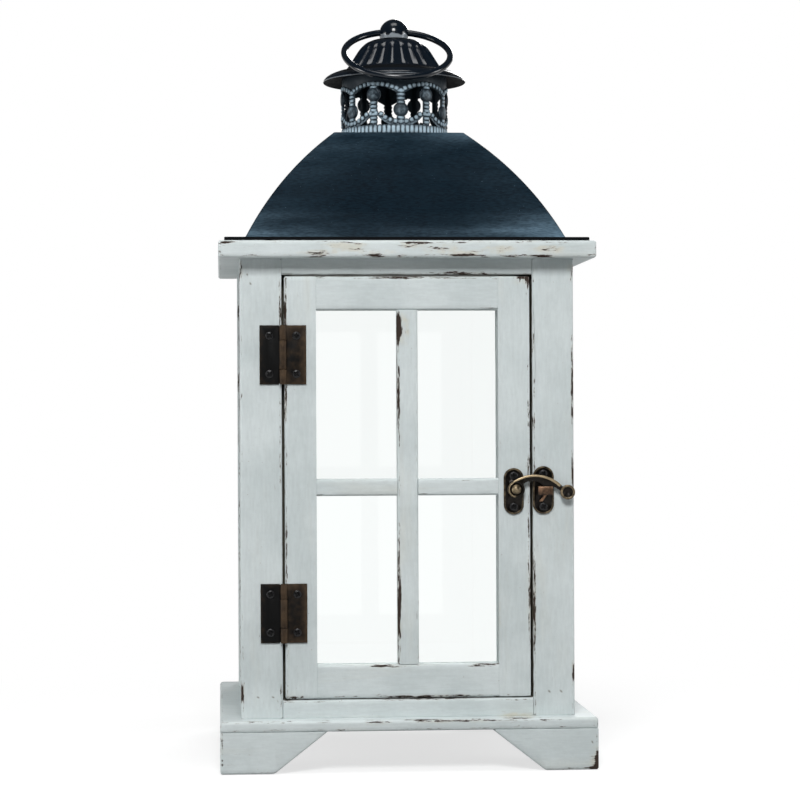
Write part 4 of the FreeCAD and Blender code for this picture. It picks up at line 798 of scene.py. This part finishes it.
def gallery():
    look = {"radius": 36.0, "foot": 418.5, "band": 6.2, "gadroons": 72, "repeats": 6, "start": 3.0, "discLow": 16.4,
            "discHigh": 27.0, "disc": 10.0, "postWide": 5.0, "ribbonLow": 9.4, "ribbonHigh": 15.2, "ribbonWide": 2.4,
            "archLow": 28.0, "archHigh": 33.0, "segment": 2.6, "bow": 0.56, "swag": 66, "arch": 72, "pathSteps": 288,
            "skinRub": 0.36, "skinTop": 31, "shadedBack": -0.4, "sink": 0.1, "bead": (3.6, 3.7)}
    mounds = {"rib": (0.8, 4, 14, 0.9, 0.35, 3.5), "disc": (1.3, 6, 24, 0.4, 0.32),
              "block": (0.95, 3, 16, 0.75, 0.4, 3.0), "bead": (0.95, 3, 12, 0.75, 0.4, 3.0)}
    out, foot, tall = look["radius"], look["foot"], look["segment"]
    skin = copyOf("gallery")
    layer = skin.verts.layers.float.new("rubAndPaintedLight")
    # painted shade: the inner faces and the outer band under the brim are darker than the outer skin below
    for vert in skin.verts:
        front = vert.co.xy.length > out - 0.1 and vert.co.z < foot + look["skinTop"]
        vert[layer] = look["skinRub"] if front else look["shadedBack"]
    standIn("gallery", skin, "gallery")
    first, half = radians(look["start"]), pi / look["repeats"]
    meshes = []

    def ringOf(name, shape, count, start):
        values = {"Source": spareObject(name, shape), "Count": count, "Start": start}
        meshes.append(grown(ringGroup, "gallery", values))

    rib = mound(turn * out / look["gadroons"] * 1.02, look["band"] * 1.1, *mounds["rib"])
    ringOf("rib", moved(rib, -out + 0.15, foot + look["band"] * 0.53), look["gadroons"], 0.0)
    for start, disc, high in ((first, look["discLow"], look["archLow"] + 2.2),
                              (first + half, look["discHigh"], look["archHigh"] + 2.2)):
        face = mound(look["disc"], look["disc"], *mounds["disc"])
        ringOf("disc", moved(face, -out + look["sink"], foot + disc), look["repeats"], start)
        parts, level = [], look["band"] + 0.8
        while level < high:
            if abs(level + tall / 2 - disc) > look["disc"] / 2 - 0.4:
                block = mound(look["postWide"] * 1.22, tall * 1.02, *mounds["block"])
                parts.append(moved(block, -out + look["sink"], foot + level + tall / 2))
            level += tall
        ringOf("stack", join(parts), look["repeats"], start)
    bow, sunk = look["bow"] * out, look["ribbonWide"] / 2
    for kind in ("swag", "arch"):
        curve = bpy.data.curves.new(kind, "CURVE")
        curve.dimensions = "3D"
        line = curve.splines.new("POLY")
        line.points.add(look["pathSteps"] - 1)
        line.use_cyclic_u = True
        for k, point in enumerate(line.points):
            a = turn * k / look["pathSteps"]
            off = abs((a / half + 1) % 2 - 1)  # 0 at a low post, 1 at a high one
            if kind == "swag":
                run = min(off * half * out, bow * 0.8)
                level = look["ribbonLow"] - sunk + bow - sqrt(max(1.0, bow ** 2 - run ** 2))
                level = min(level, look["ribbonHigh"] - sunk)
            else:
                level = look["archLow"] + 1.2 + (look["archHigh"] - look["archLow"]) * sin(off * pi / 2) ** 0.8
            b = a + first
            point.co = (out * sin(b) * millimetre, -out * cos(b) * millimetre, (foot + level) * millimetre, 1)
        bead = spareObject("bead", mound(*look["bead"], *mounds["bead"]))
        values = {"Path": shown(kind, curve), "Source": bead, "Count": look[kind]}
        meshes.append(grown(pathGroup, "gallery", values))
    return addPiece("gallery_relief", mergeMeshes(meshes), "gallery", "case", (), "grey_gallery", sharp=60)


gallery()
print("gallery made")


def crown():
    look = {"edge": 49.0, "edgeLevel": 458.19, "rise": 6.5, "foot": 35.0, "tall": 22.56, "flutes": 28, "deep": 1.7,
            "sheet": 1.1, "perFlute": 10, "scoop": 1.8, "steps": 36, "matt": (-0.3, 0.9), "mattFoot": (463.9, 466.2),
            "rim": [(0.5, -0.99, 0.2), (0.1, -0.66, 0.5), (0, -0.25, 0.55), (0.2, 0.02, 0.4)],
            "brim": [(48.8, 0.6), (48.2, 1.4), (47.0, 2.6), (45.2, 3.8), (43.0, 4.8), (40.6, 5.7), (38.2, 6.3),
                     (36.4, 6.6), (35.2, 6.7)],
            "bell": [(0, 34.7), (0.05, 33.7), (0.12, 32.4), (0.22, 30.7), (0.36, 28.7), (0.53, 26.3), (0.68, 24.0),
                     (0.79, 21.8), (0.87, 19.6), (0.93, 17.0), (0.975, 14.0), (1.0, 9.9)]}
    edgeLevel, thick, deep, tall = (look[key] for key in ("edgeLevel", "sheet", "deep", "tall"))
    root = edgeLevel + look["rise"]
    around = look["flutes"] * look["perFlute"]
    loops, rubAndPaintedLight = [], []

    def addRing(radius, level, depth=0, value=0.0):
        points = []
        for k in range(around):
            share = (k % look["perFlute"]) / look["perFlute"]
            cut = depth * (1 - abs(2 * share - 1) ** look["scoop"])  # scooped between narrow ridges
            a = turn * k / around
            points.append(((radius - cut) * sin(a), -(radius - cut) * cos(a), level))
        loops.append(points)
        rubAndPaintedLight.append(value)

    def bellAt(share):  # cubic through the listed radii
        table = look["bell"]
        k = next((k for k in range(len(table) - 1) if share <= table[k + 1][0]), len(table) - 2)
        (a, ra), (b, rb) = table[k], table[k + 1]
        before, after = table[max(0, k - 1)], table[min(len(table) - 1, k + 2)]
        leave = (rb - before[1]) / (b - before[0]) * (b - a)
        reach = (after[1] - ra) / (after[0] - a) * (b - a)
        t = (share - a) / (b - a)
        return ra + t * leave + t * t * (3 * (rb - ra) - 2 * leave - reach) + t ** 3 * (leave + reach - 2 * (rb - ra))

    # painted highlight: the rim and the two outer brim rows are made paler along the brim's edge
    for inset, rise, value in look["rim"]:
        addRing(look["edge"] - inset, edgeLevel + rise, 0, value)
    for k, (radius, rise) in enumerate(look["brim"]):
        addRing(radius, edgeLevel + rise, 0, 0.12 if k < 2 else 0.0)
    for share in (k / look["steps"] for k in range(1, look["steps"] + 1)):
        fade = min(1.0, max(0.0, share - 0.01) / 0.07) * min(1.0, max(0.0, 0.86 - share) / 0.26) ** 0.8
        addRing(bellAt(share), root + tall * share, deep * fade, 0.12 * fade)
    addRing(9.6, root + tall - thick)
    for share in (0.96, 0.85, 0.6, 0.4, 0.2, 0.05):
        addRing(max(4.0, bellAt(share) - deep - thick), root + tall * share - thick)
    addRing(look["foot"] - 1.5, root - thick - 0.4)
    shape, rows, (layer,) = loopSkin(loops, closed=True, layers=["rubAndPaintedLight"])
    markRows(rows, layer, rubAndPaintedLight)
    faceOut(shape)
    (under, flat), (low, high) = look["matt"], (level * millimetre for level in look["mattFoot"])
    return standIn("crown", shape, "enamel", 50, "soot",
                   lambda face: not under < face.normal.z < flat or low < face.center.z < high)


def finial():
    look = {"ball": 10.2, "middle": 491.15, "seat": 487.25, "bore": 2.9, "boreLevel": 492.55, "collar": 9.75,
            "stud": 3.0, "studLong": 6, "spokes": 64, "steps": 32, "drillLong": 14}
    ball, middle, seat, spokes = (look[key] for key in ("ball", "middle", "seat", "spokes"))
    foot = seat - look["studLong"]
    profile = [(look["stud"], foot), (look["stud"], seat), (8.4, seat), (look["collar"], seat + 0.35),
               (look["collar"] + 0.1, seat + 0.9)]
    start = -asin((middle - seat - 1.3) / ball)
    for a in (start + (pi / 2 - start) * k / look["steps"] for k in range(look["steps"])):
        profile.append((ball * cos(a), middle + ball * sin(a)))
    circle = lambda count: [turn * k / count for k in range(count)]
    loops = [[(radius * cos(a), radius * sin(a), level) for a in circle(spokes)] for radius, level in profile]
    shape, rows, (layer,) = loopSkin(loops, layers=["rubAndPaintedLight"])
    closeTip(shape, rows[0], (0, 0, foot))
    closeTip(shape, rows[-1], (0, 0, middle + ball))
    for vert in shape.verts:
        a = atan2(vert.co.y, vert.co.x)
        wave = sin(7 * a + 0.6) + 0.5 * sin(13 * a)  # uneven edge of the pale foot
        vert[layer] = min(1.2, max(0.0, (seat + 3.3 + wave * 0.7 - vert.co.z) / 0.9))
    faceOut(shape)
    ends = [[(x, look["bore"] * cos(a), look["boreLevel"] + look["bore"] * sin(a)) for a in circle(32)]
            for x in (-look["drillLong"], look["drillLong"])]
    drill, rows, layers = loopSkin(ends, capped=True)
    faceOut(drill)
    solid, tool = spareObject("ball", shape), spareObject("drill", drill)
    modifier = solid.modifiers.new("bore", "BOOLEAN")
    modifier.operation, modifier.solver, modifier.object = "DIFFERENCE", "EXACT", tool
    mesh = evaluated(solid)
    bpy.data.objects.remove(solid)
    bpy.data.objects.remove(tool)
    return standIn("finial", mesh, "enamel", sharp=40)


def ring():
    look = {"radius": 35.9, "wire": 2.2, "pivot": 492.55, "lean": 33.0, "around": 144, "section": 20}
    lean, wire = radians(look["lean"]), look["wire"]
    side, down, face = Vector((1, 0, 0)), Vector((0, -cos(lean), -sin(lean))), Vector((0, -sin(lean), cos(lean)))
    middle = Vector((0, 0, look["pivot"])) + down * look["radius"]
    section = [turn * j / look["section"] for j in range(look["section"])]
    loops = []
    for a in (turn * k / look["around"] for k in range(look["around"])):
        away = side * cos(a) + down * sin(a)
        loops.append([middle + away * (look["radius"] + wire * cos(b)) + face * wire * sin(b) for b in section])
    shape, rows, (layer,) = loopSkin(loops, closed=True, layers=["rubAndPaintedLight"])
    for vert in shape.verts:
        vert[layer] = 0.02 + 0.12 * noise.noise(vert.co * 0.09)
    faceOut(shape)
    return standIn("carry_ring", shape, "enamel", sharp=60)


crown(), finial(), ring()
print("crown, finial and ring made")


def hinges():
    look = {"arris": 0.32, "axis": (-80.25, -110.5), "knuckle": 2.2, "shadePlate": 0.22, "face": -108.0, "end": 0.6,
            "knuckleRub": 0.55, "doorRub": 0.3, "postRub": 0.05,
            "notch": {"hinge_post_leaf": (-84.2, -81.05), "hinge_door_leaf": (-79.45, -76.4)}}
    for node in [name for name in cadNodes if name.startswith(("hinge_post_leaf", "hinge_door_leaf", "hinge_pin"))]:
        shape = copyOf(node)
        softenEdges(shape, look["arris"], 2, 40.0)
        layer = shape.verts.layers.float.new("rubAndPaintedLight")
        low, high = boxOf(shape)
        flatRub = look["doorRub"] if "door" in node else look["postRub"]
        for vert in shape.verts:
            x, y, z = vert.co
            onKnuckle = hypot(x - look["axis"][0], y - look["axis"][1]) < look["knuckle"] + 0.05
            rim = min(x - low[0], high[0] - x, z - low[2], high[2] - z)
            value = look["knuckleRub"] if onKnuckle else flatRub + max(0.0, 0.3 - rim * 0.12)
            vert[layer] = value if y < look["face"] - 0.5 else 0.0
        for start, (left, right) in look["notch"].items():  # painted shade: thin dark plate behind the other leaf's knuckles
            if node.startswith(start):
                for vert in bmesh.ops.create_cube(shape, size=1.0)["verts"]:
                    x, y, z = vert.co
                    vert.co = Vector((left if x < 0 else right, look["face"] - (0 if y > 0 else look["shadePlate"]),
                                      low[2] + look["end"] if z < 0 else high[2] - look["end"]))
                    vert[layer] = 0.0
        standIn(node, shape, "bronze", sharp=35)


def latchPlates():
    look = {"arris": 0.22, "lugArris": 0.8, "lugFront": -113.5, "copperFrom": -109.6, "rivet": (69.9, 180.2),
            "armFront": -112.8, "bow": 24.2, "eye": 4.75, "wire": 0.75, "proud": 0.6, "bowStart": (-2.75, 3.9),
            "bowEnd": (28.4, 2.3), "tab": (33.3, -1.9), "tabRim": 4.05, "tabFront": -113.6, "plateFace": -109.05,
            "lugSide": -111.5, "lugTop": 181.2, "lugRubAndHighlight": (0.36, 0.62),
            "rubAndPaintedLight": {"latch_plate": 0.03, "keeper_plate": 0.03, "latch_arm": 0.1, "latch_rivet": 0.5}}
    onLug = lambda edge: all(vert.co.y < look["lugFront"] for vert in edge.verts)
    for node, rest in look["rubAndPaintedLight"].items():
        shape, lug = copyOf(node), {}
        if node == "keeper_plate":
            softenEdges(shape, look["lugArris"], 3, 40.0, onLug)
            lug = {"second": "copper", "secondWhen": lambda face: face.center.y < look["copperFrom"] * millimetre}
        softenEdges(shape, look["arris"], 2, 40.0)
        layer = shape.verts.layers.float.new("rubAndPaintedLight")
        for vert in shape.verts:
            x, y, z = vert.co
            vert[layer] = rest
            # the lug's top and root are lighter: worn metal with a painted highlight
            if node.endswith("plate") and y < look["plateFace"]:
                bright = y <= look["copperFrom"] and (y > look["lugSide"] or z > look["lugTop"])
                vert[layer] = look["lugRubAndHighlight"][bright]
        if node == "latch_arm":
            shape = join([shape] + armRims(look))
        standIn(node, shape, "brass", 35, **lug)


def armRims(look):  # half-round rims: from under the eye along the bow, and round the thumb tab
    middle, last, first = bowThrough(Vector(look["bowEnd"]), Vector(look["bowStart"]), look["bow"])
    line = [unit(radians(345 - 9 * k)) * look["eye"] for k in range(24)]
    line += [middle + unit(first + (last - first) * k / 30) * look["bow"] for k in range(31)]
    circle = [Vector(look["tab"]) + unit(turn * k / 40) * look["tabRim"] for k in range(40)]
    section = [pi * j / 7 for j in range(8)]
    made = []
    for points, front, closed, bright in ((line, look["armFront"], False, 0.85),
                                          (circle, look["tabFront"], True, 0.45)):
        count = len(points)
        loops, rubAndPaintedLight = [], []
        for k, point in enumerate(points):
            before, after = (k - 1, (k + 1) % count) if closed else (max(k - 1, 0), min(k + 1, count - 1))
            ahead = points[after] - points[before]
            side = Vector((-ahead.y, ahead.x)).normalized()
            full = 1.0 if closed else min(1.0, 0.45 + k / 18) * (1.0 + 0.35 * max(0.0, k / count - 0.75) * 4)
            loop = []
            for t in section:
                p = point + side * look["wire"] * full * cos(t)
                depth = front + 0.05 - look["proud"] * full * sin(t)
                loop.append((look["rivet"][0] + p.x, depth, look["rivet"][1] + p.y))
            loops.append(loop)
            rubAndPaintedLight.append(bright if closed else bright * (0.55 + 0.45 * min(1.0, k / 12)))
        shape, rows, (layer,) = loopSkin(loops, closed=closed, capped=not closed, layers=["rubAndPaintedLight"])
        markRows(rows, layer, rubAndPaintedLight)
        faceOut(shape)
        made.append(shape)
    return made


hinges(), latchPlates()
print("hinges and latch made")


def screwHead(wide, tall, slotWide, slotLong, steps=16):  # domed head with a cross recess, facing -y
    shape = bmesh.new()
    layer = shape.verts.layers.float.new("rubAndPaintedLight")
    grid = []
    for i in range(steps + 1):
        row = []
        for j in range(steps + 1):
            u, v = 2 * i / steps - 1, 2 * j / steps - 1
            x, z = u * sqrt(1 - v * v / 2), v * sqrt(1 - u * u / 2)
            r = min(1.0, hypot(x, z))
            y = -tall * (0.35 + 0.65 * sqrt(max(0.0, 1 - r * r)))
            x, z = x * wide / 2, z * wide / 2
            inCross = (abs(x) < slotWide and abs(z) < slotLong) or (abs(z) < slotWide and abs(x) < slotLong)
            vert = shape.verts.new((x, y + (tall * 0.75 if inCross else 0), z))
            vert[layer] = 0.0 if inCross else 0.2 + 0.45 * r
            row.append(vert)
        grid.append(row)
    for i in range(steps):
        for j in range(steps):
            shape.faces.new((grid[i][j], grid[i + 1][j], grid[i + 1][j + 1], grid[i][j + 1]))
    border = [grid[i][0] for i in range(steps)] + [grid[steps][j] for j in range(steps)]
    border += [grid[steps - i][steps] for i in range(steps)] + [grid[0][steps - j] for j in range(steps)]
    base = [shape.verts.new((vert.co.x, 0, vert.co.z)) for vert in border]
    for k in range(len(border)):
        after = (k + 1) % len(border)
        shape.faces.new((border[k], border[after], base[after], base[k]))
    shape.faces.new(base)
    faceOut(shape)
    return shape


def seatsOf(node):  # boxes of a node's loose parts
    boxes = []
    for part in separate(copyOf(node)):
        boxes.append(boxOf(part))
        part.free()
    return boxes


def fasteners():
    look = {"head": 5.2, "tall": 0.9, "slotWide": 0.42, "slotLong": 1.75, "nail": 4.0, "nailTall": 1.0,
            "nutArris": 0.4, "screwSeed": 11, "nailSeed": 5}
    middle = lambda box, k: (box[0][k] + box[1][k]) / 2
    for k, node in enumerate(("hinge_post_screws", "hinge_door_screws", "latch_screws", "keeper_screws")):
        spots = [(middle(box, 0), box[0][1] + look["tall"], middle(box, 2)) for box in seatsOf(node)]
        head = spareObject("head", screwHead(look["head"], look["tall"], look["slotWide"], look["slotLong"]))
        values = {"Source": head, "Axis": (0.0, 1.0, 0.0), "Seed": look["screwSeed"] + k}
        standIn(node, grown(seatGroup, "steel", values, spots), "steel", sharp=30)
    spots = [(middle(box, 0), middle(box, 1), box[1][2] - look["nailTall"]) for box in seatsOf("roof_nails")]
    dome = mound(look["nail"], look["nail"], look["nailTall"], 4, 20, 0.5)
    bmesh.ops.rotate(dome, cent=(0, 0, 0), matrix=Matrix.Rotation(-pi / 2, 3, "X"), verts=dome.verts)
    values = {"Source": spareObject("nail", dome), "Axis": (0.0, 0.0, 1.0), "Seed": look["nailSeed"]}
    standIn("roof_nails", grown(seatGroup, "steel", values, spots), "steel", sharp=60)
    nut = copyOf("finial_nut")
    softenEdges(nut, look["nutArris"], 2)
    standIn("finial_nut", nut, "steel")


fasteners()
print("fasteners made")


def panes():
    look = {"arris": 0.25}
    for node in [name for name in cadNodes if name.endswith("_glass")]:
        shape = copyOf(node)
        bmesh.ops.dissolve_limit(shape, angle_limit=0.01, verts=shape.verts, edges=shape.edges)
        softenEdges(shape, look["arris"], 2)
        standIn(node, shape, "glass", sharp=12)  # dead flat faces


panes()
print("panes made")


def stageAndLight():
    look = {"floor": 6.0, "below": -0.0004, "pale": 0.38, "near": 0.69, "ground": (0.22, 0.55), "fill": 0.03,
            "room": 0.06, "back": (0.25, 0.6), "low": (0.3, 0.12),
            "lamps": {"keyLamp": ((-0.2, -1.55, 1.32), (0.55, 0.55), 26.5, (0, 0, 0.26)),
                      "leftLamp": ((-1.8, -0.3, 0.4), (0.6, 0.6), 11.0, (0, 0, 0.24)),
                      "rightLamp": ((1.8, -0.4, 0.6), (0.6, 0.6), 11.0, (0, 0, 0.24)),
                      "topLamp": ((-0.05, -0.5, 2.1), (0.9, 0.7), 10.5, (-0.05, -0.499, 0)),
                      "rearLamp": ((0.5, 1.75, 1.05), (0.7, 0.7), 13.0, (0, 0, 0.24))}}
    white = (1, 1, 1, 1)
    mesh = bpy.data.meshes.new("floor")
    s = look["floor"]
    mesh.from_pydata([(x, y, look["below"]) for x, y in ((-s, -s), (s, -s), (s, s), (-s, s))], [], [(0, 1, 2, 3)])
    floor = shown("floor", mesh)
    material = bpy.data.materials.new("paleFloor")
    tree = emptyTree(material)
    path = put(tree, "ShaderNodeLightPath").outputs
    seen = calc(tree, "max", path["Is Glossy Ray"], path["Is Transmission Ray"])
    seen = calc(tree, "max", path["Is Camera Ray"], seen)
    place = put(tree, "ShaderNodeTexCoord").outputs["Object"]
    away = put(tree, "ShaderNodeVectorMath", {0: place}, operation="LENGTH").outputs["Value"]
    diffuse = put(tree, "ShaderNodeBsdfDiffuse", {"Color": (look["pale"], look["pale"], look["pale"], 1)})
    glow = put(tree, "ShaderNodeEmission", {"Color": white, "Strength": calc(tree, "*", seen, look["near"])})
    both = put(tree, "ShaderNodeAddShader", {0: diffuse.outputs[0], 1: glow.outputs[0]})
    plain = put(tree, "ShaderNodeEmission", {"Color": white, "Strength": 1.0})
    far = calc(tree, "*", seen, span(tree, away, *look["ground"]))
    mixed = put(tree, "ShaderNodeMixShader", {0: far, 1: both.outputs[0], 2: plain.outputs[0]})
    put(tree, "ShaderNodeOutputMaterial", {"Surface": mixed.outputs[0]})
    mesh.materials.append(material)
    world = bpy.data.worlds.new("studio")
    scene.world = world
    tree = emptyTree(world)
    path = put(tree, "ShaderNodeLightPath").outputs
    seen = calc(tree, "max", path["Is Camera Ray"], path["Is Transmission Ray"])
    way = put(tree, "ShaderNodeSeparateXYZ", {0: put(tree, "ShaderNodeTexCoord").outputs["Generated"]}).outputs
    behind = calc(tree, "*", span(tree, way["Y"], *look["back"]), span(tree, way["Z"], *look["low"]))
    behind = calc(tree, "max", behind, look["room"])  # white behind the lantern, a dimmer room before and above it
    seen = calc(tree, "max", seen, calc(tree, "*", path["Is Glossy Ray"], behind))
    level = calc(tree, "max", seen, calc(tree, "*", path["Is Diffuse Ray"], look["fill"]))
    light = put(tree, "ShaderNodeBackground", {"Color": white, "Strength": level})
    put(tree, "ShaderNodeOutputWorld", {"Surface": light.outputs[0]})
    for name, (spot, size, power, aim) in look["lamps"].items():
        lamp = bpy.data.lights.new(name, "AREA")
        lamp.shape = "RECTANGLE"
        lamp.size, lamp.size_y = size
        lamp.energy = power
        thing = shown(name, lamp)
        thing.location = spot
        thing.rotation_euler = (Vector(aim) - Vector(spot)).to_track_quat("-Z", "Y").to_euler()


def camera():
    look = {"eye": (-0.1207, -1.6913, 0.2267), "yaw": 4.05, "roll": -0.252, "lens": 110.73, "sensor": 36,
            "shift": (0.00714, 0.0225), "clip": (0.05, 60)}
    yaw, roll = radians(look["yaw"]), radians(look["roll"])
    ahead, right, up = Vector((sin(yaw), cos(yaw), 0)), Vector((cos(yaw), -sin(yaw), 0)), Vector((0, 0, 1))
    across = right * cos(roll) + up * sin(roll)
    upward = up * cos(roll) - right * sin(roll)
    lens = bpy.data.cameras.new("camera")
    lens.lens, lens.sensor_width = look["lens"], look["sensor"]
    lens.shift_x, lens.shift_y = look["shift"]
    lens.clip_start, lens.clip_end = look["clip"]
    eye = shown("camera", lens)
    turned = Matrix((across, upward, -ahead)).transposed().to_4x4()
    eye.matrix_world = Matrix.Translation(look["eye"]) @ turned
    scene.camera = eye


stageAndLight()
camera()
print("stage, light and camera made")
bpy.context.view_layer.update()
